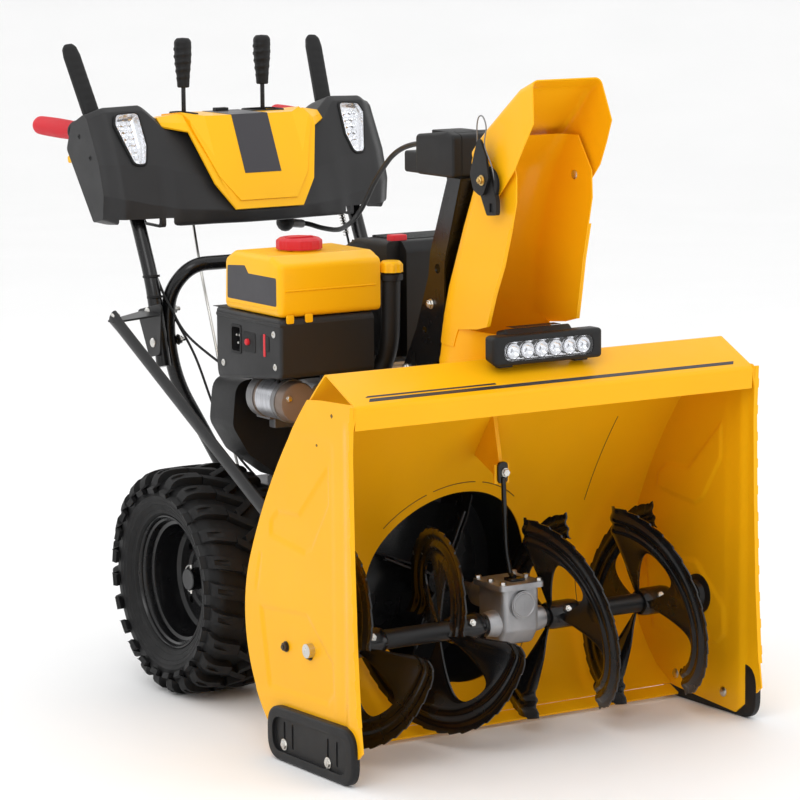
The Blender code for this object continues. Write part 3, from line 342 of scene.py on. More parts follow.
def moved(mesh, matrix):
    """A mesh after a matrix, with its faces still outward."""
    mesh.transform(matrix)
    if matrix.determinant() < 0:
        bmesh.ops.reverse_faces(mesh, faces=mesh.faces)
    return mesh


def mirrored(points):
    """Points mirrored to the other side of the machine."""
    return [(-x, y, z) for x, y, z in points]


def merge(meshes):
    """Several solids in one mesh."""
    result = bmesh.new()
    for mesh in meshes:
        data = bpy.data.meshes.new("part")
        mesh.to_mesh(data)
        mesh.free()
        result.from_mesh(data)
        bpy.data.meshes.remove(data)
    return result


def combine(base, join=(), cut=()):
    """A solid united with others, then with others cut out of it."""
    made = []
    for mesh in [base, *join, *cut]:
        data = bpy.data.meshes.new("work")
        mesh.to_mesh(data)
        mesh.free()
        work = bpy.data.objects.new("work", data)
        bpy.context.scene.collection.objects.link(work)
        made.append(work)
    for number, tool in enumerate(made[1:]):
        modifier = made[0].modifiers.new("boolean", "BOOLEAN")
        modifier.operation = "UNION" if number < len(join) else "DIFFERENCE"
        modifier.solver = "EXACT"
        modifier.object = tool
    bpy.context.view_layer.update()
    shaped = made[0].evaluated_get(bpy.context.evaluated_depsgraph_get())
    result = bmesh.new()
    result.from_mesh(shaped.to_mesh())
    shaped.to_mesh_clear()
    for work in made:
        data = work.data
        bpy.data.objects.remove(work)
        bpy.data.meshes.remove(data)
    bmesh.ops.remove_doubles(result, verts=result.verts, dist=1e-6)
    return result


def build(name, mesh, finish, stands_for=(), body="snowblower", slot=None, bevel=0.0, smooth=35, segments=2):
    """One shown piece, drawn in the hood frame as a mesh or a list of them, riding on a CAD body."""
    if isinstance(mesh, list):
        mesh = merge(mesh)
    mesh.transform(Matrix.Translation((0, -MIDDLE_Y, -GROUND_Z)))
    data = bpy.data.meshes.new(name)
    mesh.to_mesh(data)
    mesh.free()
    data.materials.append(finish)
    data.shade_smooth()
    made = bpy.data.objects.new(name, data)
    bpy.context.scene.collection.objects.link(made)
    if bevel:
        modifier = made.modifiers.new("bevel", "BEVEL")
        modifier.width = bevel
        modifier.segments = segments
        modifier.limit_method = "ANGLE"
        modifier.angle_limit = math.radians(smooth)
        modifier.harden_normals = True
        modifier.use_clamp_overlap = True
    else:
        data.set_sharp_from_angle(angle=math.radians(smooth))
    if body:
        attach(made, body)
    slot = slot or SLOTS[finish]
    if stands_for:
        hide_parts(*([stands_for] if isinstance(stands_for, str) else stands_for))
    return made


# Materials

def surface(name, colour, roughness, metallic=0.0, shade=0.05, shade_scale=5.0, spread=0.05, grain=0.0,
        grain_scale=700.0, dents=0.0, dents_scale=60.0, coat=0.0, coat_roughness=0.1, dust=0.0, stretch=None,
        specular=0.5):
    """A painted, moulded or metal surface with uneven colour and gloss, a fine grain and soft dents."""
    made = bpy.data.materials.new(name)
    made.use_nodes = True
    tree = made.node_tree
    shader = tree.nodes["Principled BSDF"]
    place = tree.nodes.new("ShaderNodeTexCoord")
    source = place.outputs["Object"]
    if stretch:
        mapping = tree.nodes.new("ShaderNodeMapping")
        mapping.inputs["Scale"].default_value = stretch
        tree.links.new(source, mapping.inputs["Vector"])
        source = mapping.outputs["Vector"]

    def noise(scale, detail=3.0):
        node = tree.nodes.new("ShaderNodeTexNoise")
        node.inputs["Scale"].default_value = scale
        node.inputs["Detail"].default_value = detail
        tree.links.new(source, node.inputs["Vector"])
        return node.outputs["Fac"]

    ramp = tree.nodes.new("ShaderNodeValToRGB")
    ramp.color_ramp.elements[0].position = 0.3
    ramp.color_ramp.elements[1].position = 0.7
    ramp.color_ramp.elements[0].color = (*[c * (1 - shade) for c in colour], 1)
    ramp.color_ramp.elements[1].color = (*[min(c * (1 + shade), 1) for c in colour], 1)
    tree.links.new(noise(shade_scale), ramp.inputs["Fac"])
    colour_out = ramp.outputs["Color"]
    if dust:
        spots = tree.nodes.new("ShaderNodeMapRange")
        spots.inputs["From Min"].default_value = 0.52
        spots.inputs["From Max"].default_value = 0.8
        spots.inputs["To Max"].default_value = dust
        tree.links.new(noise(38.0, 8.0), spots.inputs["Value"])
        mix = tree.nodes.new("ShaderNodeMix")
        mix.data_type = "RGBA"
        mix.inputs["B"].default_value = (0.16, 0.155, 0.15, 1)
        tree.links.new(spots.outputs["Result"], mix.inputs["Factor"])
        tree.links.new(colour_out, mix.inputs["A"])
        colour_out = mix.outputs["Result"]
    tree.links.new(colour_out, shader.inputs["Base Color"])
    gloss = tree.nodes.new("ShaderNodeMapRange")
    gloss.inputs["From Min"].default_value = 0.3
    gloss.inputs["From Max"].default_value = 0.7
    gloss.inputs["To Min"].default_value = max(roughness - spread, 0.02)
    gloss.inputs["To Max"].default_value = min(roughness + spread, 1.0)
    tree.links.new(noise(22.0), gloss.inputs["Value"])
    tree.links.new(gloss.outputs["Result"], shader.inputs["Roughness"])
    shader.inputs["Metallic"].default_value = metallic
    shader.inputs["Specular IOR Level"].default_value = specular
    shader.inputs["Coat Weight"].default_value = coat
    shader.inputs["Coat Roughness"].default_value = coat_roughness
    normal = None
    for strength, scale, depth in ((dents, dents_scale, 0.002), (grain, grain_scale, 0.0004)):
        if strength:
            bump = tree.nodes.new("ShaderNodeBump")
            bump.inputs["Strength"].default_value = strength
            bump.inputs["Distance"].default_value = depth
            tree.links.new(noise(scale), bump.inputs["Height"])
            if normal:
                tree.links.new(normal, bump.inputs["Normal"])
            normal = bump.outputs["Normal"]
    if normal:
        tree.links.new(normal, shader.inputs["Normal"])
    return made


yellow = surface("yellow_powder_coat", (0.93, 0.45, 0.004), 0.36, shade=0.025, grain=0.16, grain_scale=420,
    dents=0.05, dents_scale=9, coat=0.1, coat_roughness=0.16, specular=0.18)
yellow_plastic = surface("yellow_plastic", (0.95, 0.485, 0.005), 0.34, shade=0.02, grain=0.1,
    grain_scale=1100, coat=0.08, specular=0.2)
black = surface("black_enamel", (0.0045, 0.0045, 0.005), 0.25, shade=0.2, grain=0.12, grain_scale=380,
    coat=0.12, coat_roughness=0.12, specular=0.35)
black_satin = surface("black_satin_paint", (0.007, 0.007, 0.0075), 0.4, shade=0.15, grain=0.2,
    grain_scale=500, specular=0.35)
plastic = surface("black_plastic", (0.008, 0.008, 0.0085), 0.5, shade=0.12, grain=0.5, grain_scale=1500,
    specular=0.3)
grey = surface("grey_plastic", (0.0155, 0.0155, 0.0165), 0.46, shade=0.08, grain=0.5, grain_scale=1500,
    specular=0.35)
rubber = surface("tyre_rubber", (0.006, 0.006, 0.0063), 0.62, shade=0.2, grain=0.6, grain_scale=600,
    dust=0.05, dents=0.15, dents_scale=90, specular=0.28)
soft_black = surface("black_soft_rubber", (0.007, 0.007, 0.0075), 0.55, shade=0.15, grain=0.5,
    grain_scale=1200, specular=0.3)
red = surface("red_plastic", (0.62, 0.018, 0.028), 0.42, shade=0.05, grain=0.3, grain_scale=900,
    specular=0.35)
red_grip = surface("red_soft_grip", (0.62, 0.018, 0.03), 0.5, shade=0.06, grain=0.4, grain_scale=1300,
    specular=0.35)
cast = surface("cast_aluminium", (0.4, 0.4, 0.41), 0.46, metallic=0.92, shade=0.16, shade_scale=18,
    spread=0.12, grain=0.7, grain_scale=320, dents=0.25, dents_scale=45)
dark_cast = surface("dark_cast_aluminium", (0.16, 0.16, 0.165), 0.5, metallic=0.85, shade=0.2, shade_scale=18,
    spread=0.1, grain=0.7, grain_scale=320)
steel = surface("zinc_steel", (0.62, 0.61, 0.58), 0.3, metallic=1.0, shade=0.08, shade_scale=60, spread=0.08,
    grain=0.15, grain_scale=900)
dark_steel = surface("dark_steel", (0.07, 0.058, 0.046), 0.44, metallic=0.8, shade=0.15, shade_scale=60)
bronze = surface("bronze", (0.45, 0.29, 0.12), 0.35, metallic=1.0, shade=0.1, shade_scale=40)
gold = surface("gold_zinc", (0.62, 0.43, 0.16), 0.32, metallic=1.0, shade=0.12, shade_scale=60)
taupe = surface("taupe_paint", (0.215, 0.165, 0.135), 0.42, metallic=0.25, shade=0.08, grain=0.3)
ring_grey = surface("grey_paint", (0.2, 0.2, 0.205), 0.42, metallic=0.3, shade=0.06, grain=0.3)
decal = surface("dark_grey_film", (0.03, 0.028, 0.034), 0.4, shade=0.03, grain=0.08)
chrome = surface("bright_reflector", (0.88, 0.88, 0.89), 0.12, metallic=1.0, shade=0.03, spread=0.05,
    dents=0.3, dents_scale=120)
# Darker brown copy of the yellow: painted shadow, for the crevices along seams and for holes in the sheet
painted_seam_shadow = surface("seam_shadow", (0.16, 0.07, 0.004), 0.6, shade=0.2)
foil = surface("silver_film", (0.52, 0.53, 0.56), 0.36, metallic=0.8, shade=0.16, shade_scale=30, spread=0.1,
    stretch=(1, 14, 1))


def clear_lens(name, tint):
    """Clear plastic with a slightly uneven gloss."""
    made = bpy.data.materials.new(name)
    made.use_nodes = True
    tree = made.node_tree
    shader = tree.nodes["Principled BSDF"]
    shader.inputs["Base Color"].default_value = (*tint, 1)
    shader.inputs["Transmission Weight"].default_value = 1.0
    shader.inputs["IOR"].default_value = 1.46
    coordinates = tree.nodes.new("ShaderNodeTexCoord")
    noise = tree.nodes.new("ShaderNodeTexNoise")
    noise.inputs["Scale"].default_value = 90
    tree.links.new(coordinates.outputs["Object"], noise.inputs["Vector"])
    spread = tree.nodes.new("ShaderNodeMapRange")
    spread.inputs["To Min"].default_value = 0.02
    spread.inputs["To Max"].default_value = 0.07
    tree.links.new(noise.outputs["Fac"], spread.inputs["Value"])
    tree.links.new(spread.outputs["Result"], shader.inputs["Roughness"])
    return made


lens = clear_lens("clear_lens", (0.97, 0.98, 1.0))

# The slot of each finish, where a piece names no other
SLOTS = {yellow: "yellow_paint", painted_seam_shadow: "yellow_paint", dark_steel: "steel", plastic: "black_plastic",
    chrome: "steel", lens: "steel", cast: "cast_metal", steel: "steel", black: "black_paint",
    black_satin: "black_paint", soft_black: "black_plastic", gold: "steel", ring_grey: "steel",
    grey: "grey_plastic", yellow_plastic: "yellow_paint", decal: "black_plastic", red: "red_plastic",
    taupe: "starter_paint", foil: "starter_paint", dark_cast: "cast_metal", rubber: "rubber",
    red_grip: "red_plastic"}


# Fasteners

def hex_head(place, direction, across=0.013, height=0.0055, washer=0.0, stud=0.0):
    """A hexagon nut or bolt head, with a washer under it and a stud's end standing out."""
    ahead = basis(direction)[0]
    place = Vector(place)
    parts = []
    if washer:
        parts.append(turned([(0, 0), (washer, 0), (washer, WASHER), (0, WASHER)], place, ahead, 20))
    base = place + ahead * (WASHER if washer else 0.0)
    radius = across / 2 / math.cos(math.pi / 6)
    profile = [(0, 0), (1.0, 0), (1.0, 0.82), (0.86, 1.0), (0, 1.0)]
    parts.append(turned([(r * radius, a * height) for r, a in profile], base, ahead, 6))
    if stud:
        parts.append(rod(base + ahead * height * 0.9, base + ahead * (height + stud), across * 0.3, 12,
            0.0008))
    return parts


def dome_head(place, direction, radius=0.008, height=0.0035):
    """A carriage bolt's round head."""
    profile = [(0, 0), (radius, 0), (radius * 0.97, height * 0.35), (radius * 0.75, height * 0.8),
        (radius * 0.4, height), (0, height * 1.04)]
    return [turned(profile, place, direction, 20)]


def screw_head(place, direction, radius=0.0055, height=0.0025):
    """A pan head screw with a star recess."""
    profile = [(0, height * 0.35), (radius * 0.32, height * 0.35), (radius * 0.42, height),
        (radius * 0.75, height), (radius, height * 0.5), (radius, 0), (0, 0)]
    return [turned(profile, place, direction, 18)]


def chute_axis_point(along):
    """A point on the axis the chute turns about."""
    x, y, z = CHUTE_BASE
    return (x, y - along * math.sin(CHUTE_TILT), z + along * math.cos(CHUTE_TILT))


CHUTE_AXIS = (0.0, -math.sin(CHUTE_TILT), math.cos(CHUTE_TILT))


# Auger housing

LIP_BOTTOM = (0.004, 0.563)
FRONT_FOLD = (0.0, 0.599)
REAR_FOLD = (0.0885, 0.642)
WALL_BREAK = (0.318, 0.328)
TROUGH_END = (0.262, 0.05)
SHELL_END = (0.222, 0.026)


def fold(before, corner, after, reach, steps=5):
    """A rounded fold between two straight lines."""
    path = bent([(0, *before), (0, *corner), (0, *after)], reach, steps)[1:-1]
    return [(p.y, p.z) for p in path]


def housing_line():
    """The outer side of the wrap-around sheet, from the hood's lip over and down to the scraper."""
    wall = arc(REAR_FOLD, WALL_BREAK, 0.021, 18)
    trough = arc(WALL_BREAK, TROUGH_END, 0.047, 18)
    return ([LIP_BOTTOM] + fold(LIP_BOTTOM, FRONT_FOLD, REAR_FOLD, 0.006) + fold(FRONT_FOLD, REAR_FOLD,
        wall[0], 0.006) + wall + trough + [SHELL_END])


def make_housing():
    """The wrapped sheet of the auger housing, its seam lines in painted shadow, and stripes."""
    outer = housing_line()
    inner = offset_line(outer, -SHEET)
    shell = prism(outer + inner[::-1], "X", -HOUSING_HALF, HOUSING_HALF)
    gusset = prism([(0.171, 0.424), (0.171, 0.448), (0.19, 0.5325), (0.246, 0.4575)], "X", -0.0035, 0.0035)
    tab = block((-0.014, 0.0145), (0.17, 0.174), (0.42, 0.452))
    hem = prism([(0.0045, 0.5632), (0.0085, 0.5632), (0.0085, 0.569), (0.0045, 0.569)], "X", -0.3815, 0.3815)
    mouth = rod((0, 0.18, IMPELLER_Z), (0, 0.4, IMPELLER_Z), 0.16, 96)
    collar_hole = rod(chute_axis_point(-0.052), chute_axis_point(0.09), 0.0905, 64)
    build("housing_shell_sheet", combine(shell, [gusset, tab, hem], [mouth, collar_hole]), yellow,
        "housing_shell", bevel=0.0009)

    # Seam round the drum's mouth and the two welds down the back wall, as thin beads in a darker brown:
    # painted shadow in their crevices
    wall = sorted((z, y) for y, z in inner[10:-1] if y > 0.09)
    beads = []
    for first, last in ((38, 66), (70, 96), (101, 128), (214, 232), (300, 326)):
        path = []
        for k in range(25):
            a = math.radians(lerp(first, last, k / 24))
            z = IMPELLER_Z + 0.1775 * math.sin(a)
            path.append(Vector((-0.1775 * math.cos(a), along_table(wall, z) - 0.0002, z)))
        beads.append(tube(path, 0.0009, 8))
    for x, low, high in ((0.262, 0.345, 0.5), (0.262, 0.12, 0.21), (-0.262, 0.345, 0.5)):
        path = []
        for k in range(16):
            z = lerp(low, high, k / 15)
            path.append(Vector((x + 0.02 * (z - low), along_table(wall, z) - 0.0002, z)))
        beads.append(tube(path, 0.0007, 8))
    build("housing_seam_shadow_lines", beads, painted_seam_shadow)

    # Plain stripe along the hood, in place of its lettering
    top = Vector((0, REAR_FOLD[0] - FRONT_FOLD[0], REAR_FOLD[1] - FRONT_FOLD[1])).normalized()
    out = Vector((0, -top.z, top.y))
    start = Vector((0, *FRONT_FOLD))
    for name, x0, x1, low, high in (("hood_stripe_long", -0.352, 0.356, 0.013, 0.021),
            ("hood_stripe_short", -0.352, -0.11, 0.0245, 0.0285)):
        quad = [(x0, low), (x1 - 0.006 if x1 > 0 else x1, low), (x1, high), (x0 + 0.006, high)]
        rings = [[start + top * v + out * lift + Vector((u, 0, 0)) for u, v in quad] for lift in (-0.0004,
            0.00035)]
        build(name, loft(rings), decal)

    bolts = []
    for x in (-0.3, -0.1, 0.12, 0.3):
        bolts += dome_head((x, 0.2115, 0.0165), (0, -0.66, 0.75), 0.0075, 0.003)
    build("scraper_bolts", bolts, dark_steel)


PRESSED = (([(0.078, 0.506), (0.174, 0.411), (0.238, 0.409), (0.262, 0.388), (0.263, 0.36), (0.152, 0.346),
    (0.13, 0.358), (0.078, 0.436)], 1.0), ([(0.298, 0.246), (0.148, 0.256), (0.07, 0.19), (0.066, 0.138),
    (0.088, 0.116), (0.272, 0.112)], 1.0), ([(0.282, 0.333), (0.296, 0.334), (0.313, 0.266), (0.3, 0.262)],
    0.8),)


def plate_press(y, z):
    """How far the plate is pressed inwards, in metres, at a point of its face."""
    depth = 0.0
    for polygon, share in PRESSED:
        depth = max(depth, 0.0038 * share * step(inside_by((y, z), polygon) / 0.009 + 0.15))
    field = step((y - 0.058) / 0.016) * step((0.545 - z) / 0.02) * step((z - 0.1) / 0.012)
    roll = step((0.036 - y) / 0.022) * step((0.585 - z) / 0.03)
    return max(depth, 0.0012 * field) - 0.0045 * roll


def make_side_plates():
    """Side plates with pressed panels, flanges, bearings and bolts."""
    line = offset_line(housing_line()[6:], 0.001)
    back = sorted([(z, y) for y, z in line] + [(0.0115, 0.041)])
    front = [(0.0115, 0.041), (0.064, -0.0215), (0.123, -0.013), (0.232, -0.005), (0.384, 0.001),
        (0.52, 0.0038), (0.6025, 0.0), (line[0][1] + 0.0004, line[0][0])]
    heights = sorted({*[0.0115 + (front[-1][0] - 0.0115) * k / 150 for k in range(151)], 0.0239, 0.064,
        0.0262})
    columns = 84
    for name, side in SIDES:
        mesh = bmesh.new()
        faces = []
        for thick in (0.0, SHEET):
            grid = []
            for z in heights:
                y0 = along_table(front, z)
                y1 = max(along_table(back, z), y0 + 0.0002)
                row = []
                for k in range(columns + 1):
                    y = lerp(y0, y1, k / columns)
                    row.append(mesh.verts.new((side * (0.3858 - plate_press(y, z) - thick), y, z)))
                grid.append(row)
            faces.append(grid)
        for number, grid in enumerate(faces):
            for low, high in zip(grid, grid[1:]):
                for k in range(columns):
                    quad = (low[k], low[k + 1], high[k + 1], high[k])
                    mesh.faces.new(quad if number == 0 else quad[::-1])
        outer, inner = faces
        rims = [([row[0] for row in outer], [row[0] for row in inner]),
            ([row[-1] for row in outer], [row[-1] for row in inner]), (outer[0], inner[0]),
            (outer[-1], inner[-1])]
        for first, second in rims:
            for a, b, c, d in zip(first, first[1:], second[1:], second):
                mesh.faces.new((a, b, c, d))
        bmesh.ops.remove_doubles(mesh, verts=mesh.verts, dist=2e-5)
        bmesh.ops.recalc_face_normals(mesh, faces=mesh.faces)
        build(f"side_plate_sheet_{name}", mesh, yellow, f"side_plate_{name}", smooth=45)

        # Front flange with its low teeth
        edge = [(0.1045, -0.0155), (0.123, -0.013), (0.232, -0.005), (0.384, 0.001), (0.52, 0.0038),
            (0.6, 0.0)]
        stations = [0.1045, 0.112]
        tooth = 0.118
        while tooth < 0.585:
            stations += [tooth, tooth + 0.0016, tooth + 0.015, tooth + 0.0166]
            tooth += 0.0445
        stations += [0.592, 0.6]
        rings = []
        for z in stations:
            y = along_table(edge, z)
            phase = (z - 0.118) % 0.0445
            proud = 0.0014 if 0.001 < phase < 0.0155 and z > 0.115 and z < 0.59 else 0.0
            out = 0.3938 + proud
            rings.append([(side * 0.3865, y - 0.0002, z), (side * out, y - 0.0006, z),
                (side * (out + 0.0003), y + 0.0006, z), (side * out, y + 0.0024, z),
                (side * 0.3865, y + 0.003, z)])
        build(f"front_flange_{name}", loft(rings), yellow, smooth=30)

        bolts = []
        for y, z in ((0.217, 0.189), (0.144, 0.189)):
            bolts += hex_head((side * 0.3826, y, z), (side, 0, 0), 0.0125, 0.005, 0.0088, 0.0022)
        build(f"bearing_bolts_{name}", bolts, dark_steel)
        inner_parts = []
        bearing = turned([(0.0128, 0), (0.034, 0), (0.034, 0.002), (0.024, 0.004), (0.021, 0.012),
            (0.0128, 0.012)], (side * 0.3785, AUGER_Y, AUGER_Z), (-side, 0, 0), 40)
        build(f"axle_bearing_{name}", bearing, black_satin)
        for y, z in ((0.207, 0.046), (0.074, 0.04)):
            inner_parts += dome_head((side * 0.3826, y, z), (-side, 0, 0), 0.0085, 0.0035)
        build(f"shoe_bolt_heads_{name}", inner_parts, steel)
        # Small dark brown discs on the plate's faces: painted shade in its holes
        marks = [turned([(0, 0), (0.0038, 0), (0.0038, 0.0006), (0, 0.0006)], (side * 0.3855, 0.066, 0.579),
            (side, 0, 0), 4), turned([(0, 0), (0.0038, 0), (0.0038, 0.0006), (0, 0.0006)],
            (-side * -0.3824, 0.066, 0.579), (-side, 0, 0), 4), turned([(0, 0), (0.0022, 0), (0.0022, 0.0006),
            (0, 0.0006)], (side * 0.3846, 0.113, 0.527), (side, 0, 0), 12)]
        build(f"plate_hole_shade_{name}", marks, painted_seam_shadow)


def make_skid_shoes():
    """Skid shoes with their recess, slots and bolts."""
    for name, side in SIDES:
        outline = rounded([(-0.008, 0.006), (0.253, 0.006), (0.253, 0.093), (-0.008, 0.098)], 0.036, 10)
        recess = rounded([(0.012, 0.022), (0.235, 0.022), (0.235, 0.077), (0.012, 0.082)], 0.024, 8)
        shoe = pillow(outline, "X", side * 0.3864, side * 0.3999, 0.0055)
        pocket = prism(recess, "X", side * 0.394, side * 0.41)
        slots = [prism(rounded(rectangle(y - 0.0026, y + 0.0026, 0.03, 0.07), 0.0025, 4), "X", side * 0.392,
            side * 0.41) for y in (0.181, 0.206, 0.047, 0.074)]
        build(f"skid_shoe_moulding_{name}", combine(shoe, [], [pocket, *slots]), plastic, f"skid_shoe_{name}",
            bevel=0.0009)
        bolts = []
        for y, z in ((0.207, 0.033), (0.074, 0.031)):
            bolts += hex_head((side * 0.3941, y, z), (side, 0, 0), 0.012, 0.0028, 0.0095, 0.0012)
        build(f"skid_shoe_nuts_{name}", bolts, steel)


def make_light_bar():
    """LED bar on the hood."""
    front = rounded([(0.0345, 0.632), (0.0655, 0.642), (0.0655, 0.682), (0.0345, 0.682)], 0.007, 6)
    raised = rounded([(0.048, 0.65), (0.0842, 0.656), (0.0842, 0.684), (0.06, 0.6895), (0.048, 0.68)], 0.004,
        5)
    window = prism(rounded(rectangle(-0.086, 0.086, 0.6415, 0.6725), 0.0145, 8), "Y", 0.02, 0.048)
    body = combine(pillow(front, "X", -0.105, 0.105, 0.008, 0.008),
        [pillow(raised, "X", -0.07, 0.058, 0.005, 0.005), block((-0.085, -0.06), (0.05, 0.062),
        (0.6299, 0.645)), block((0.06, 0.085), (0.05, 0.062), (0.6299, 0.645))], [window])
    build("light_bar_body", body, plastic, "light_bar", bevel=0.0008)
    cups = []
    lights = []
    for k in range(6):
        x = -0.0675 + 0.027 * k
        cups.append(turned([(0.0132, 0), (0.0128, -0.0006), (0.0098, 0.006), (0.004, 0.0098), (0, 0.01),
            (0, 0.0112), (0.006, 0.0112), (0.0132, 0.004)], (x, 0.0366, 0.657), (0, 1, 0), 32, lambda a, r,
            s: 1.0 + 0.015 * math.cos(10 * a)))
        lights.append(turned([(0, 0.004), (0.003, 0.0048), (0.0036, 0.008), (0, 0.0085)], (x, 0.0366, 0.657),
            (0, 1, 0), 20))
    tray = prism(rounded(rectangle(-0.0845, 0.0845, 0.643, 0.671), 0.0135, 8), "Y", 0.0455, 0.0475)
    build("light_bar_reflectors", cups, chrome, smooth=50)
    build("light_bar_tray", tray, chrome)
    build("light_bar_leds", lights, lens)
    build("light_bar_lens", pillow(rounded(rectangle(-0.0858, 0.0858, 0.6417, 0.6723), 0.0143, 8), "Y", 0.037,
        0.0348, 0.0009), lens)
    build("light_bar_trim", [prism(rounded(rectangle(-0.052, 0.04, 0.6898, 0.6902), 0.0001, 1), "Y", 0.06,
        0.0805)], plastic)


# Augers

RIBBON_ADVANCE = 0.121


def ribbon(inner_start, start_angle, side):
    """One toothed ribbon of a flight, with two arms reaching in to the tube."""
    steps = 150
    middle = side * (inner_start + RIBBON_ADVANCE / 2)
    profile = [(0.0, 0.0), (0.08, 0.0028), (0.14, 0.004), (0.24, 0.004), (0.31, 0.0024), (0.36, 0.0006),
        (0.44, 0.0006), (0.5, 0.0028), (0.56, 0.0044), (0.66, 0.0046), (0.73, 0.003), (0.8, 0.0008),
        (0.87, 0.0), (1.0, 0.0)]
    rings = []
    for i in range(steps + 1):
        t = i / steps
        a = math.radians(start_angle - RIBBON_TURN * t)
        x = side * (inner_start + RIBBON_ADVANCE * t + 0.018 * max(0.0, 1 - t / 0.07) ** 2)
        arm = max(1 / (1 + (abs(t - 0.09) / 0.095) ** 4), 1 / (1 + (abs(t - 0.56) / 0.1) ** 4))
        reach = step(min(1.0, (arm - 0.03) * 1.1))
        outer = 0.1645 + 0.0031 * ((t * 18.0 + 0.3) % 1.0)
        end_wave = 0.0024 * (math.sin(t * 95) - 1) * step((t - 0.93) / 0.05)
        inner = 0.12 + 0.003 * math.sin(t * 85) * step((t - 0.9) / 0.08) - 0.004 * step((0.05 - t) / 0.05)
        low = inner - (inner - 0.0165) * reach
        low_x = x + (middle - x) * reach * 0.85
        ring_front = []
        ring_back = []
        for u, lift in profile:
            r = outer + end_wave if u == 1.0 else lerp(inner, 0.164 + end_wave, u)
            ring_front.append((r, x + lift * -side))
            ring_back.append((r, x + lift * -side + 0.003))
        web = []
        for k in range(4):
            u = k / 4
            web.append((lerp(low, inner, u), lerp(low_x, x, u ** 1.2)))
        front = web + ring_front
        back = [(r, xx + 0.003) for r, xx in web] + ring_back
        rings.append([(xx, AUGER_Y - r * math.cos(a), AUGER_Z + r * math.sin(a)) for r,
            xx in front + back[::-1]])
    return loft(rings)


def make_augers():
    """Both augers: ribbons, tubes, collars and shear bolts."""
    for name, side, starts, angle in (("right", -1, (0.082, 0.255), 0), ("left", 1, (0.018, 0.195), 97)):
        ribbons = [ribbon(start, angle + half, side) for start in starts for half in (0, 180)]
        build(f"auger_ribbons_{name}", ribbons, black, f"auger_{name}", body="auger", smooth=40)
        tubes = [pipe((side * 0.058, AUGER_Y, AUGER_Z), (side * 0.374, AUGER_Y, AUGER_Z), 0.016, 0.0123, 40)]
        build(f"auger_tube_{name}", tubes, black_satin, body="auger")
        collars = []
        bolts = []
        for x in (0.094, 0.283):
            collars.append(turned([(0.0162, 0), (0.0205, 0.001), (0.0225, 0.006), (0.0232, 0.014),
                (0.0232, 0.048), (0.0215, 0.058), (0.019, 0.062), (0.0162, 0.063)],
                (side * (x - 0.03), AUGER_Y, AUGER_Z), (side, 0, 0), 48, lambda a, r,
                s: 1.0 + 0.16 * max(0.0, math.cos(2 * a)) ** 3))
            for a in (28, 208):
                d = Vector((0, -math.cos(math.radians(a)), math.sin(math.radians(a))))
                place = Vector((side * x, AUGER_Y, AUGER_Z)) + d * 0.0228
                bolts += hex_head(place, d, 0.0115, 0.006, 0.0, 0.002)
        build(f"auger_collars_{name}", collars, black, body="auger")
        build(f"shear_bolts_{name}", bolts, steel, body="auger")


def make_gearbox():
    """Cast worm gearbox and the strap that holds it."""
    outline = rounded([(0.113, 0.186), (0.13, 0.16), (0.166, 0.16), (0.19, 0.19), (0.19, 0.262),
        (0.113, 0.262)], 0.011, 6)
    body = pillow(outline, "X", -0.036, 0.036, 0.01, 0.01)
    flange = pillow(rounded(rectangle(-0.043, 0.043, 0.108, 0.196), 0.01, 6), "Z", 0.2545, 0.264, 0.0012)
    bosses = [turned([(0, -0.0555), (0.019, -0.0555), (0.0205, -0.05), (0.0225, -0.036), (0.0225, 0.036),
        (0.0205, 0.05), (0.019, 0.0555), (0, 0.0555)], (0, AUGER_Y, AUGER_Z), (1, 0, 0), 48),
        rod((0, 0.1065, IMPELLER_Z), (0, 0.235, IMPELLER_Z), 0.0235, 40)]
    bores = [rod((-0.08, AUGER_Y, AUGER_Z), (0.08, AUGER_Y, AUGER_Z), 0.0122, 32),
        rod((0, 0.2, IMPELLER_Z), (0, 0.3, IMPELLER_Z), 0.0112, 32)]
    build("gearbox_casting", combine(body, [flange, *bosses], bores), cast, "gearbox_case", bevel=0.0016,
        segments=3)
    cap = turned([(0, 0.0022), (0.0178, 0.0022), (0.0186, 0.001), (0.0198, 0.0004), (0.0212, 0.001),
        (0.0216, 0.0045), (0, 0.0045)], (0, 0.104, IMPELLER_Z), (0, 1, 0), 48)
    slot = block((-0.001, 0.001), (0.1, 0.1068), (IMPELLER_Z - 0.01, IMPELLER_Z + 0.01))
    build("gearbox_cap", combine(cap, [], [slot]), cast)
    bolts = []
    for x in (-0.035, 0.035):
        for y in (0.116, 0.152, 0.188):
            bolts += hex_head((x, y, 0.264), (0, 0, 1), 0.0095, 0.0042, 0.006)
    bolts += hex_head((0.004, 0.1655, 0.438), (0, -1, 0), 0.0115, 0.0045, 0.0075)
    build("gearbox_bolts", bolts, steel)
    strap = bent([(0.004, 0.14, 0.2695), (0.004, 0.151, 0.2712), (0.004, 0.164, 0.31), (0.0, 0.1655, 0.43)],
        0.014, 8)
    foot = pillow(rounded(rectangle(-0.01, 0.018, 0.128, 0.152), 0.004, 4), "Z", 0.2643, 0.2685, 0.001)
    pad = pillow(rounded(rectangle(-0.0095, 0.0095, 0.42, 0.456), 0.009, 6), "Y", 0.1697, 0.1655, 0.001)
    build("gearbox_strap_bar", [tube(strap, 0.0042, 14), foot, pad], black, "gearbox_strap")


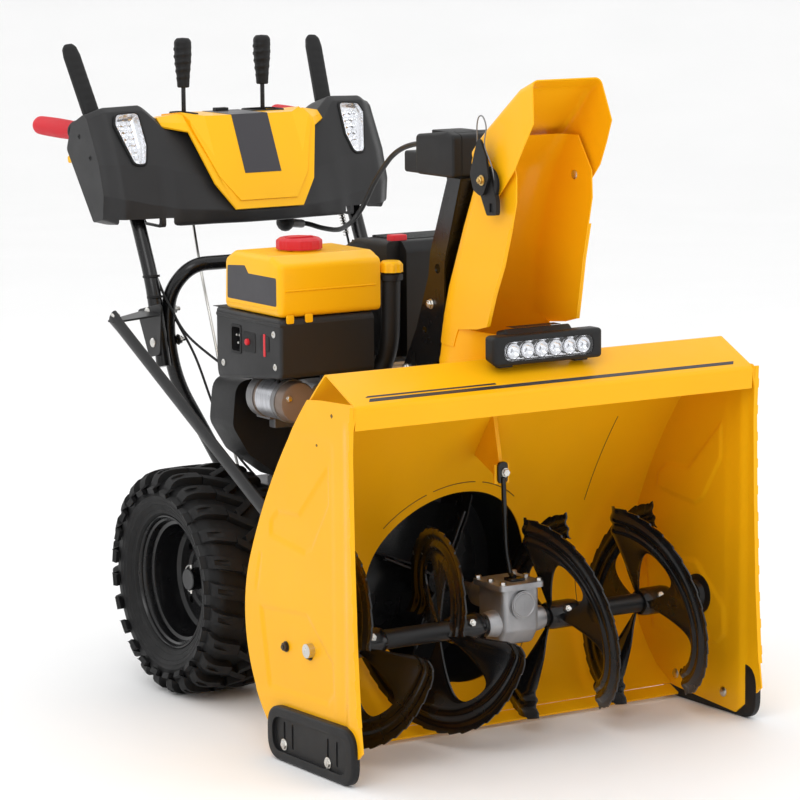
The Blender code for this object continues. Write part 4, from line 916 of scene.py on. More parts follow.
def make_impeller():
    """Four bladed impeller."""
    blades = []
    for number in range(4):
        turn = Matrix.Translation((0, 0, IMPELLER_Z)) @ Matrix.Rotation(math.radians(35 + 90 * number), 4,
            "Y")
        rings = []
        for y in (0.3505, 0.355, 0.395, 0.4355):
            low, high = [], []
            for k in range(13):
                u = k / 12
                x = lerp(0.021, 0.15, u)
                z = 0.027 * u * u + 0.0022 * math.exp(-((u - 0.55) / 0.08) ** 2)
                low.append((x, y, z))
                high.append((x, y, z + 0.0032))
            rings.append(low + high[::-1])
        rib = tube([Vector((0.04, 0.354, 0.0075)), Vector((0.12, 0.354, 0.023))], 0.003, 10)
        blades.append(moved(merge([loft(rings), rib]), turn))
    hub = pipe((0, 0.352, IMPELLER_Z), (0, 0.436, IMPELLER_Z), 0.024, 0.0113, 40)
    disc = pipe((0, 0.4362, IMPELLER_Z), (0, 0.44, IMPELLER_Z), 0.125, 0.0113, 72)
    build("impeller_fan", [hub, disc, *blades], black, "impeller", body="impeller", smooth=40)


make_housing()
make_side_plates()
make_skid_shoes()
make_light_bar()
make_augers()
make_gearbox()
make_impeller()


# Drum, adapter and the drive behind the housing

def housing_interior(grow):
    """A solid that fills the housing's inside, grown by a margin."""
    line = offset_line(housing_line(), grow)
    return prism(line + [(-0.1, line[-1][1]), (-0.1, LIP_BOTTOM[1])], "X", -0.5, 0.5)


def make_drum():
    """Impeller drum, a thin black sleeve over its inside, and the scraper."""
    drum = turned([(0.163, 0), (0.166, 0), (0.166, 0.203), (0.164, 0.205), (0.0225, 0.205), (0.0225, 0.202),
        (0.163, 0.202)], (0, 0.25, IMPELLER_Z), (0, 1, 0), 96)
    outlet = block((-0.0735, 0.0735), (0.348, 0.44), (0.3, 0.42))
    sleeve = turned([(0.162, 0), (0.1628, 0), (0.1628, 0.196), (0.1628, 0.2018), (0.03, 0.2018),
        (0.03, 0.201), (0.162, 0.201)], (0, 0.25, IMPELLER_Z), (0, 1, 0), 96)
    # A thin black sleeve over the drum's inner wall and back, which makes the drum's interior dark
    build("drum_dark_sleeve", combine(sleeve, [], [housing_interior(0.0004),
        block((-0.0735, 0.0735), (0.348, 0.44), (0.3, 0.42))]), black_satin, smooth=30)
    build("impeller_drum", combine(drum, [], [housing_interior(0.0004), outlet]), yellow, "impeller_housing",
        smooth=30)
    bolts = []
    for k in range(8):
        a = math.radians(22.5 + 45 * k)
        bolts += hex_head((0.15 * math.cos(a), 0.4552, IMPELLER_Z + 0.15 * math.sin(a)), (0, 1, 0), 0.011,
            0.0045, 0.008)
    build("drum_bolts", bolts, steel)
    top = offset_line([TROUGH_END, SHELL_END, (0.1975, 0.015)], 0.0003)
    bottom = offset_line(top, 0.004)
    build("scraper_blade", prism(top[1:] + bottom[:0:-1], "X", -HOUSING_HALF, HOUSING_HALF), yellow,
        "scraper_bar", bevel=0.0009)


def make_adapter():
    """Slanted duct from the drum to the chute."""
    table = [((0.3475, 0.3905), (0.4405, 0.3905), 0.0735, 0.012), ((0.312, 0.425), (0.428, 0.44), 0.074,
        0.02), ((0.264, 0.476), (0.395, 0.502), 0.076, 0.034), ((0.218, 0.524), (0.348, 0.556), 0.0785,
        0.052), ((0.165, 0.556), (0.3, 0.592), 0.0805, 0.07)]
    top = 0.0812
    for along in (-0.004, 0.012):
        _, y, z = chute_axis_point(along)
        table.append(((y - top * math.cos(CHUTE_TILT), z - top * math.sin(CHUTE_TILT)),
            (y + top * math.cos(CHUTE_TILT), z + top * math.sin(CHUTE_TILT)), top, top))
    stations = []
    for a, b in zip(table, table[1:]):
        for k in range(6):
            t = k / 6
            stations.append(((lerp(a[0][0], b[0][0], t), lerp(a[0][1], b[0][1], t)),
                (lerp(a[1][0], b[1][0], t), lerp(a[1][1], b[1][1], t)), lerp(a[2], b[2], t),
                lerp(a[3], b[3], t)))
    stations.append(table[-1])

    def ring(front, back, half, corner, inset):
        front, back = Vector(front), Vector(back)
        across = (back - front).normalized()
        depth = (back - front).length - 2 * inset
        half -= inset
        corner = min(corner, half, depth / 2) * 0.999
        points = []
        for quarter in range(4):
            sign_x = (1, -1, -1, 1)[quarter]
            sign_d = (1, 1, -1, -1)[quarter]
            for k in range(11):
                a = math.pi / 2 * (quarter + k / 10)
                pd = depth / 2 + sign_d * (depth / 2 - corner) + corner * math.sin(a)
                spot = front + across * (inset + pd)
                points.append((sign_x * (half - corner) + corner * math.cos(a), spot.x, spot.y))
        return points

    outer = [ring(*station, 0.0) for station in stations]
    inner = [ring(*station, 0.0025) for station in stations]
    drum = rod((0, 0.2, IMPELLER_Z), (0, 0.6, IMPELLER_Z), 0.1663, 96)
    build("chute_adapter_duct", combine(loft(outer + inner[::-1], hollow=True), [], [drum]), yellow,
        "chute_adapter", smooth=40)


def make_drive():
    """Belt cover and the folded case of the drive."""
    outline = rounded([(-0.128, 0.118), (0.128, 0.118), (0.118, 0.4), (0.075, 0.515), (-0.075, 0.515),
        (-0.118, 0.4)], 0.035, 8)
    hollow = rounded([(-0.1255, 0.1205), (0.1255, 0.1205), (0.1155, 0.3995), (0.0735, 0.5125),
        (-0.0735, 0.5125), (-0.1155, 0.3995)], 0.033, 8)
    cover = combine(prism(outline, "Y", 0.4556, 0.5035), [], [prism(hollow, "Y", 0.4585, 0.52),
        rod((0, 0.44, IMPELLER_Z), (0, 0.47, IMPELLER_Z), 0.0135, 32)])
    build("belt_cover_shell", cover, plastic, "belt_cover", bevel=0.0015)
    shell = block((-0.125, 0.125), (0.5042, 0.872), (0.128, 0.352))
    inside = block((-0.122, 0.122), (0.5072, 0.869), (0.1, 0.349))
    holes = [rod((-0.2, 0.718, 0.201), (0.2, 0.718, 0.201), 0.0115, 32),
        rod((0, 0.49, 0.262), (0, 0.51, 0.262), 0.013, 24), rod((-0.2, 0.6, 0.262), (0.2, 0.6, 0.262), 0.0095,
        24)]
    corner = prism([(0.86, 0.24), (0.88, 0.24), (0.88, 0.36), (0.8, 0.36)], "X", -0.3, 0.3)
    build("frame_case_sheet", combine(shell, [], [inside, corner, *holes]), black_satin, "frame_case",
        bevel=0.0014)
    fittings = []
    for side in (-1, 1):
        for y, z in ((0.545, 0.155), (0.545, 0.325), (0.8, 0.155), (0.78, 0.325)):
            fittings += hex_head((side * 0.1252, y, z), (side, 0, 0), 0.013, 0.005, 0.009)
        fittings.append(turned([(0.0118, 0), (0.028, 0), (0.028, 0.003), (0.019, 0.006), (0.0118, 0.006)],
            (side * 0.1252, 0.718, 0.201), (side, 0, 0), 36))
        fittings.append(turned([(0.0098, 0), (0.022, 0), (0.022, 0.0025), (0.016, 0.0045), (0.0098, 0.0045)],
            (side * 0.1252, 0.6, 0.262), (side, 0, 0), 32))
    for x in (-0.105, 0.105):
        fittings += hex_head((x, 0.8722, 0.16), (0, 1, 0), 0.012, 0.005, 0.008)
        fittings += hex_head((x, 0.5037, 0.47 - abs(x)), (0, 1, 0), 0.01, 0.004, 0.007)
    build("frame_fittings", fittings, steel)
    ribs = [prism(rounded(rectangle(-0.1, 0.1, 0.168, 0.212), 0.014, 6), "Y", 0.8722, 0.8738),
        tube(bent([(-0.118, 0.878, 0.142), (0.118, 0.878, 0.142)], 0.01), 0.0045, 14)]
    build("frame_rear_pressing", ribs, black_satin)


# Wheels

def lug(start_angle, side, kind):
    """A tread bar following the tyre's section; kind is shoulder or centre."""
    if kind == "shoulder":
        section = [(0.08, 0.156), (0.0818, 0.164), (0.0824, 0.172), (0.0812, 0.179), (0.0772, 0.186),
            (0.0705, 0.191), (0.062, 0.1932), (0.054, 0.1942), (0.046, 0.1946), (0.038, 0.1948),
            (0.03, 0.1949)]
        lean, wide0, wide1 = 6.0, 3.5, 3.1
    else:
        section = [(0.029, 0.1949), (0.022, 0.195), (0.014, 0.195), (0.006, 0.195), (-0.003, 0.195),
            (-0.012, 0.195)]
        lean, wide0, wide1 = 11.0, 2.1, 2.1
    rings = []
    count = len(section) - 1
    for number, (a, r) in enumerate(section):
        t = number / count
        before = Vector(section[max(number - 1, 0)])
        after = Vector(section[min(number + 1, count)])
        along = (after - before).normalized()
        inward = Vector((along.y, -along.x))
        if inward.y > 0:
            inward = -inward
        depth = 0.0145 if kind == "centre" else lerp(0.008, 0.0145, step(t / 0.35))
        middle = start_angle + lean * (t if kind == "shoulder" else 0.7 + 0.75 * t)
        half = lerp(wide0, wide1, t)
        ring = []
        for u in (-1.0, -0.42, -0.34, 0.34, 0.42, 1.0):
            dip = 0.0045 if kind == "shoulder" and abs(u) < 0.4 and 0.42 < t < 0.66 else 0.0
            place = Vector((a, r)) + inward * dip
            ring.append((place, middle + half * u))
        for u in (1.12, -1.12):
            ring.append((Vector((a, r)) + inward * depth, middle + half * u))
        points = []
        for place, angle in ring:
            q = math.radians(angle)
            points.append((side * place.x, place.y * math.cos(q), place.y * math.sin(q)))
        rings.append(points)
    return loft(rings)


def make_wheels():
    """Tyres, rims, valves and hub pins."""
    sidewall = [(0.112, 0.056), (0.115, 0.064), (0.1195, 0.069), (0.1232, 0.07), (0.1245, 0.0712),
        (0.126, 0.0712), (0.1272, 0.0726), (0.1332, 0.0758), (0.1344, 0.077), (0.1356, 0.0766),
        (0.14, 0.0782), (0.1412, 0.0792), (0.1426, 0.0789), (0.148, 0.0796), (0.1492, 0.0802),
        (0.1508, 0.0797), (0.157, 0.0788), (0.166, 0.0768), (0.173, 0.0725), (0.178, 0.066), (0.1802, 0.058),
        (0.1812, 0.03), (0.1815, 0.0)]
    profile = sidewall + [(r, -a) for r, a in sidewall[-2::-1]] + [(0.11, -0.056), (0.11, 0.056)]
    for name, side in SIDES:
        body = f"wheel_{name}"
        centre = (side * WHEEL[0], WHEEL[1], WHEEL[2])
        carcass = turned(profile, centre, (1, 0, 0), 120)
        lugs = []
        for k in range(24):
            for edge in (-1, 1):
                lugs.append(lug(LUG_PITCH * (k + (0 if edge > 0 else 0.5)), edge, "shoulder"))
                lugs.append(lug(LUG_PITCH * (k + (0 if edge > 0 else 0.5)), edge, "centre"))
        tread = moved(merge(lugs), Matrix.Translation(centre))
        build(f"tyre_carcass_{name}", carcass, rubber, f"tyre_{name}", body=body, smooth=30)
        build(f"tyre_tread_{name}", tread, rubber, body=body, bevel=0.0008, smooth=40)
        rim = [(0.1098, -0.059), (0.1098, 0.0545), (0.1135, 0.0575), (0.1152, 0.0615), (0.1144, 0.0655),
            (0.1118, 0.0665), (0.1098, 0.064), (0.1088, 0.059), (0.1055, 0.0565), (0.104, 0.0525),
            (0.103, 0.0455), (0.0975, 0.0435), (0.096, 0.0395), (0.0945, 0.01), (0.0925, 0.001),
            (0.087, -0.0045), (0.077, -0.0055), (0.073, -0.002), (0.056, -0.001), (0.052, -0.005),
            (0.04, -0.006), (0.033, 0.0), (0.031, 0.006), (0.0192, 0.006), (0.0192, 0.03), (0.018, 0.0315),
            (0.0, 0.0315), (0.0, -0.235), (0.0105, -0.235), (0.0105, -0.1), (0.019, -0.1), (0.019, -0.014),
            (0.095, -0.014), (0.099, -0.02), (0.1035, -0.059)]
        rim_mesh = turned(rim, centre, (side, 0, 0), 96)
        holes = []
        for k in range(4):
            a = math.radians(45 + 90 * k)
            spot = (centre[0] - side * 0.03, centre[1] + 0.066 * math.cos(a), centre[2] + 0.066 * math.sin(a))
            holes.append(rod(spot, (spot[0] + side * 0.05, spot[1], spot[2]), 0.0065, 20))
        build(f"rim_dish_{name}", combine(rim_mesh, [], [merge(holes)]), black, f"rim_{name}", body=body,
            smooth=32)
        bits = []
        a = math.radians(160)
        foot = Vector((centre[0] + side * 0.018, centre[1] + 0.0942 * math.cos(a),
            centre[2] + 0.0942 * math.sin(a)))
        inward = Vector((0, -math.cos(a), -math.sin(a)))
        bits.append(turned([(0, 0), (0.0065, 0), (0.0055, 0.004), (0.0034, 0.006), (0.003, 0.022),
            (0.0036, 0.024), (0.0036, 0.03), (0, 0.03)], foot, inward + Vector((side * 0.7, 0, 0)), 16))
        build(f"valve_{name}", bits, soft_black, body=body)
        pin = [rod((centre[0] + side * 0.0235, centre[1], centre[2] - 0.026),
            (centre[0] + side * 0.0235, centre[1], centre[2] + 0.026), 0.003, 14, 0.001)]
        loop = [Vector((centre[0] + side * 0.0235, centre[1] + 0.003 + 0.021 * math.sin(q),
            centre[2] + 0.0235 * math.cos(q))) for q in (math.pi * k / 16 for k in range(17))]
        pin.append(tube(loop, 0.0014, 8))
        build(f"hub_pin_{name}", pin, steel, body=body)


# Chute

def chute_section(y_front, y_back, half, corner, height, wall=0.0):
    """One U-shaped section through the chute."""
    back = y_back - wall
    half -= wall
    corner -= wall
    points = [(half, y_front, height)]
    for a in range(17):
        angle = math.pi / 2 * a / 16
        x = half - corner + corner * math.cos(angle)
        points.append((x, back - corner + corner * math.sin(angle), height))
    return points + mirrored(points[::-1])


def make_chute():
    """Chute with its collar, folds and tilt bracket."""
    collar = turned([(0.0832, 0), (0.086, 0), (0.086, 0.0095), (0.0868, 0.011), (0.0868, 0.015),
        (0.086, 0.0165), (0.086, 0.091), (0.0832, 0.092)], CHUTE_BASE, CHUTE_AXIS, 96)
    table = [(0.178, 0.2762, 0.0872, 0.0872, 0.65), (0.17, 0.272, 0.087, 0.0868, 0.67),
        (0.165, 0.27, 0.0868, 0.086, 0.679), (0.11, 0.2665, 0.0864, 0.083, 0.685),
        (0.078, 0.263, 0.0855, 0.078, 0.693), (0.064, 0.2455, 0.0822, 0.068, 0.742),
        (0.048, 0.225, 0.0765, 0.057, 0.79), (0.0325, 0.2005, 0.0745, 0.05, 0.842),
        (0.019, 0.174, 0.0735, 0.045, 0.893), (0.02, 0.152, 0.073, 0.04, 0.936),
        (0.052, 0.094, 0.0695, 0.02, 0.99)]
    stations = []
    for a, b in zip(table, table[1:]):
        stations += [tuple(lerp(p, q, k / 6) for p, q in zip(a, b)) for k in range(6)]
    stations.append(table[-1])
    rings = []
    for front, back, half, corner, height in stations:
        outer = chute_section(front, back, half, corner, height)
        inner = chute_section(front, back, half, corner, height, 0.0024)
        rings.append(outer + inner[::-1])
    build("chute_spout", loft(rings), yellow, "chute", body="chute", bevel=0.0006, smooth=40)
    build("chute_collar", collar, yellow, body="chute", smooth=40)

    # Ribs folded along the spout's two front edges, and its bolts
    for name, side in SIDES:
        edge = []
        for front, back, half, corner, height in stations[24:44]:
            edge.append([(side * (half + 0.0002), front, height), (side * (half + 0.004), front, height),
                (side * (half + 0.0044), front + 0.001, height), (side * (half + 0.004), front + 0.0022,
                height), (side * (half + 0.0002), front + 0.0022, height)])
        build(f"chute_edge_fold_{name}", loft(edge), yellow, body="chute")
    bolts = []
    bolts += dome_head((0.0708, 0.066, 0.926), (-1, 0, 0), 0.0075, 0.003)
    bolts += hex_head((0.0737, 0.066, 0.926), (1, 0, 0), 0.012, 0.005, 0.0082, 0.002)
    build("chute_bolts", bolts, steel, body="chute")

    plate = rounded([(0.083, 0.996), (0.064, 0.964), (0.056, 0.93), (0.074, 0.898), (0.099, 0.908),
        (0.108, 0.933), (0.096, 0.966)], 0.013, 8)
    arm = rounded([(0.044, 0.872), (0.07, 0.87), (0.09, 0.905), (0.09, 0.935), (0.06, 0.935), (0.044, 0.895)],
        0.006, 5)
    body = combine(pillow(plate, "X", -0.101, -0.096, 0.0014), [prism(arm, "X", -0.095, -0.087),
        rod((-0.0965, 0.075, 0.915), (-0.093, 0.075, 0.915), 0.01, 24),
        rod((-0.088, 0.075, 0.915), (-0.086, 0.075, 0.915), 0.006, 24)],
        [block((-0.1, -0.0925), (0.049, 0.062), (0.876, 0.89))])
    build("tilt_bracket_plate", body, plastic, "tilt_bracket", body="chute", bevel=0.0006)
    cam = turned([(0.018, 0), (0.0262, 0), (0.027, 0.001), (0.025, 0.0022), (0.025, 0.0038), (0.027, 0.005),
        (0.0262, 0.006), (0.018, 0.006)], (-0.0885, 0.069, 0.92), (-1, 0, 0), 48)
    build("tilt_bracket_pulley", cam, soft_black, body="chute")
    bits = hex_head((-0.1012, 0.0745, 0.9255), (-1, 0, 0), 0.0105, 0.005, 0.0085, 0.0025)
    build("tilt_bracket_nut", bits, gold, body="chute")
    loop = [(-0.08, 0.118, 0.982), (-0.087, 0.108, 1.008), (-0.092, 0.095, 1.023), (-0.095, 0.079, 1.024),
        (-0.096, 0.069, 1.008), (-0.097, 0.072, 0.98), (-0.095, 0.056, 0.95), (-0.093, 0.047, 0.92)]
    build("tilt_cable_loop", tube(smooth_route(loop, 8), 0.0011, 10), ring_grey, body="chute", smooth=60)


def make_deflector():
    """Tilting hood on top of the chute."""
    stations = [((-0.013, 1.085), (-0.03, 1.018), 0.0655, 0.0755), ((0.02, 1.07), (-0.01, 0.982), 0.07, 0.08),
        ((0.06, 1.036), (0.011, 0.945), 0.0755, 0.0826), ((0.095, 1.0075), (0.035, 0.92), 0.0785, 0.0828),
        ((0.118, 0.9885), (0.058, 0.898), 0.079, 0.0828), ((0.14, 0.968), (0.09, 0.893), 0.079, 0.0826)]
    rings = []
    for number in range(6 * (len(stations) - 1) + 1):
        k = min(number // 6, len(stations) - 2)
        t = number / 6 - k
        (top0, low0, wide0, foot0), (top1, low1, wide1, foot1) = stations[k], stations[k + 1]
        top = Vector(top0).lerp(Vector(top1), t)
        low = Vector(low0).lerp(Vector(low1), t)
        length = (top - low).length
        wide, foot = lerp(wide0, wide1, t), lerp(foot0, foot1, t)
        path = bent([(foot, 0, 0), (wide, length, 0), (-wide, length, 0), (-foot, 0, 0)], 0.013, 8)
        line = [(p.x, p.y) for p in path]
        inner = offset_line(line, 0.0022)
        rings.append([(x, low.x + (top.x - low.x) * v / length, low.y + (top.y - low.y) * v / length) for x,
            v in line + inner[::-1]])
    build("deflector_hood", loft(rings), yellow, "deflector", body="deflector", bevel=0.0006, smooth=40)
    _, y, z = DEFLECTOR_PIVOT
    arm = prism(rounded([(0.062, 0.9), (0.108, 0.9), (0.128, 0.95), (0.112, 0.975), (0.07, 0.945)], 0.01, 5),
        "X", -0.0852, -0.0822)
    bosses = [rod((side * 0.08, y, z), (side * 0.0848, y, z), 0.007, 24) for side in (-1, 1)]
    build("deflector_arm", [arm, *bosses], yellow, body="deflector", bevel=0.0008)
    ribs = []
    for x in (-0.044, 0.0, 0.044):
        ribs.append(tube([Vector((x, 0.105, 1.0)), Vector((x, 0.012, 1.0765))], 0.003, 10, 1.6,
            lambda t: 0.35 + 0.65 * math.sin(math.pi * min(max(t, 0.02), 0.98)) ** 0.4))
    build("deflector_ribs", ribs, yellow, body="deflector", smooth=50)
    bits = hex_head((0.0826, y, z), (1, 0, 0), 0.0125, 0.005, 0.0085, 0.002)
    build("deflector_bolts", bits, steel, body="deflector")


def make_chute_control():
    """Bracket and control head behind the chute."""
    front = [(0.3, 0.61), (0.2865, 0.7), (0.284, 0.775), (0.236, 0.9115)]
    back = [(0.274, 0.9115), (0.327, 0.785), (0.333, 0.745), (0.37, 0.655), (0.452, 0.52), (0.4535, 0.3975),
        (0.443, 0.3975), (0.44, 0.47), (0.37, 0.58)]
    outline = front + back
    spine = back[:6]
    spine_inner = offset_line(spine, -SHEET)
    web = combine(prism(outline, "X", -0.034, -0.0305), [], [rod((-0.05, 0.305, 0.76), (0.0, 0.305, 0.76),
        0.008, 24), rod((-0.05, 0.345, 0.655), (0.0, 0.345, 0.655), 0.006, 24)])
    parts = combine(web, [prism(spine + spine_inner[::-1], "X", -0.034, 0.034),
        prism(outline, "X", 0.0305, 0.034), block((-0.034, 0.034), (0.238, 0.276), (0.9085, 0.9117))])
    build("chute_support_channel", parts, black, "chute_support", bevel=0.001)
    bolts = []
    for y, z in ((0.325, 0.7), (0.4, 0.585), (0.446, 0.44)):
        bolts += hex_head((-0.0342, y, z), (-1, 0, 0), 0.012, 0.005, 0.0085, 0.002)
        bolts += hex_head((0.0342, y, z), (1, 0, 0), 0.012, 0.005, 0.0085, 0.002)
    build("chute_support_bolts", bolts, steel)

    shape = rounded([(0.238, 0.9128), (0.352, 0.9128), (0.352, 0.978), (0.262, 0.987), (0.238, 0.982)], 0.01,
        6)
    top = pillow(shape, "X", -0.046, 0.046, 0.005, 0.005)
    groove = combine(prism(shrunk(shape, -0.02), "X", -0.03, -0.0288), [],
        [prism(shrunk(shape, 0.0012), "X", -0.1, 0.1)])
    rear = pillow(rounded(rectangle(0.34, 0.398, 0.9128, 0.948), 0.006, 5), "X", -0.038, 0.038, 0.003, 0.003)
    build("chute_head_case", combine(top, [rear], [groove]), plastic, "chute_head", bevel=0.0006)
    lid = pillow(rounded(rectangle(-0.03, 0.03, 0.252, 0.33), 0.008, 5), "Z", 0.97, 0.9868, 0.0015)
    build("chute_head_lid", moved(lid, Matrix.Translation((0, 0, -0.0012))), soft_black)


CHUTE_CABLE = [(0.112, 0.99, 0.768), (0.132, 0.99, 0.766), (0.15, 0.965, 0.759), (0.155, 0.92, 0.76),
    (0.148, 0.87, 0.776), (0.135, 0.82, 0.798), (0.12, 0.77, 0.826), (0.104, 0.72, 0.858),
    (0.088, 0.665, 0.89), (0.07, 0.605, 0.918), (0.05, 0.54, 0.937), (0.032, 0.475, 0.949),
    (0.018, 0.415, 0.955), (0.01, 0.353, 0.957)]


def make_cables():
    """Chute cable, clutch cables, speed rod and wires."""
    build("chute_cable_sheath", tube(smooth_route(CHUTE_CABLE, 10), 0.0045, 16), plastic, "chute_cable",
        smooth=60)
    ends = [turned([(0.0046, 0), (0.0085, 0.002), (0.0085, 0.012), (0.0062, 0.016), (0.0062, 0.03),
        (0.0046, 0.032)], (0.0098, 0.35, 0.957), (0.01, 1, -0.02), 24)]
    build("chute_cable_boot", ends, soft_black)
    sleeve = turned([(0, 0), (0.0072, 0), (0.0078, 0.002), (0.0078, 0.02), (0.007, 0.024), (0, 0.024)],
        (0.099, 0.99, 0.7695), (1, 0, -0.12), 24)
    build("chute_cable_sleeve", sleeve, ring_grey, slot="grey_plastic")
    ball = turned([(0, -0.0165), (0.007, -0.015), (0.0125, -0.0105), (0.016, -0.004), (0.0165, 0.0),
        (0.016, 0.004), (0.0125, 0.0105), (0.007, 0.015), (0, 0.0165)], (0.085, 0.99, 0.7715), (0, 0, 1), 32)
    build("chute_cable_joint", [ball, rod((0.085, 0.99, 0.782), (0.085, 0.99, 0.8), 0.006, 20)], soft_black)
    runs = {"clutch_cable_right": [(-0.235, 1.085, 0.905), (-0.232, 1.06, 0.86), (-0.214, 1.01, 0.79),
        (-0.206, 0.965, 0.72), (-0.19, 0.925, 0.64), (-0.165, 0.885, 0.56), (-0.15, 0.845, 0.47),
        (-0.136, 0.8, 0.4), (-0.12, 0.755, 0.358)], "clutch_cable_left": [(0.235, 1.085, 0.905),
        (0.232, 1.06, 0.86), (0.214, 1.01, 0.79), (0.206, 0.965, 0.72), (0.19, 0.925, 0.64),
        (0.168, 0.88, 0.56), (0.168, 0.79, 0.45), (0.15, 0.7, 0.385), (0.12, 0.64, 0.36)],
        "speed_rod": [(-0.09, 1.045, 0.88), (-0.092, 1.02, 0.8), (-0.108, 0.96, 0.7), (-0.112, 0.9, 0.56),
        (-0.115, 0.85, 0.42), (-0.112, 0.825, 0.352)], "light_wire": [(-0.213, 0.94, 0.7),
        (-0.205, 0.9, 0.65), (-0.196, 0.85, 0.6), (-0.15, 0.775, 0.54)],
        "heater_wire": [(0.175, 0.905, 0.74), (0.185, 0.86, 0.73), (0.18, 0.79, 0.72), (0.17, 0.7, 0.715),
        (0.15, 0.64, 0.71)],}
    for name, route in runs.items():
        radius = 0.0026 if name == "speed_rod" else 0.0022
        build(name, tube(smooth_route(route, 10), radius, 12), steel if name == "speed_rod" else plastic,
            slot="steel" if name == "speed_rod" else "black_plastic", smooth=60)
    springs = [coil((-0.2135, 1.008, 0.786), (-0.2085, 0.98, 0.742), 0.005, 0.001, 9),
        coil((0.2135, 1.008, 0.786), (0.2085, 0.98, 0.742), 0.005, 0.001, 9)]
    build("cable_springs", springs, steel, smooth=60)
    ties = []
    for side in (-1, 1):
        for y, z in ((0.952, 0.7), (0.938, 0.665)):
            ties.append(turned([(0.014, -0.002), (0.0152, -0.002), (0.0152, 0.002), (0.014, 0.002)],
                (side * 0.2225, y - 0.018, z), (0, 0.12, 1), 24))
    build("cable_ties", ties, soft_black)


# Engine

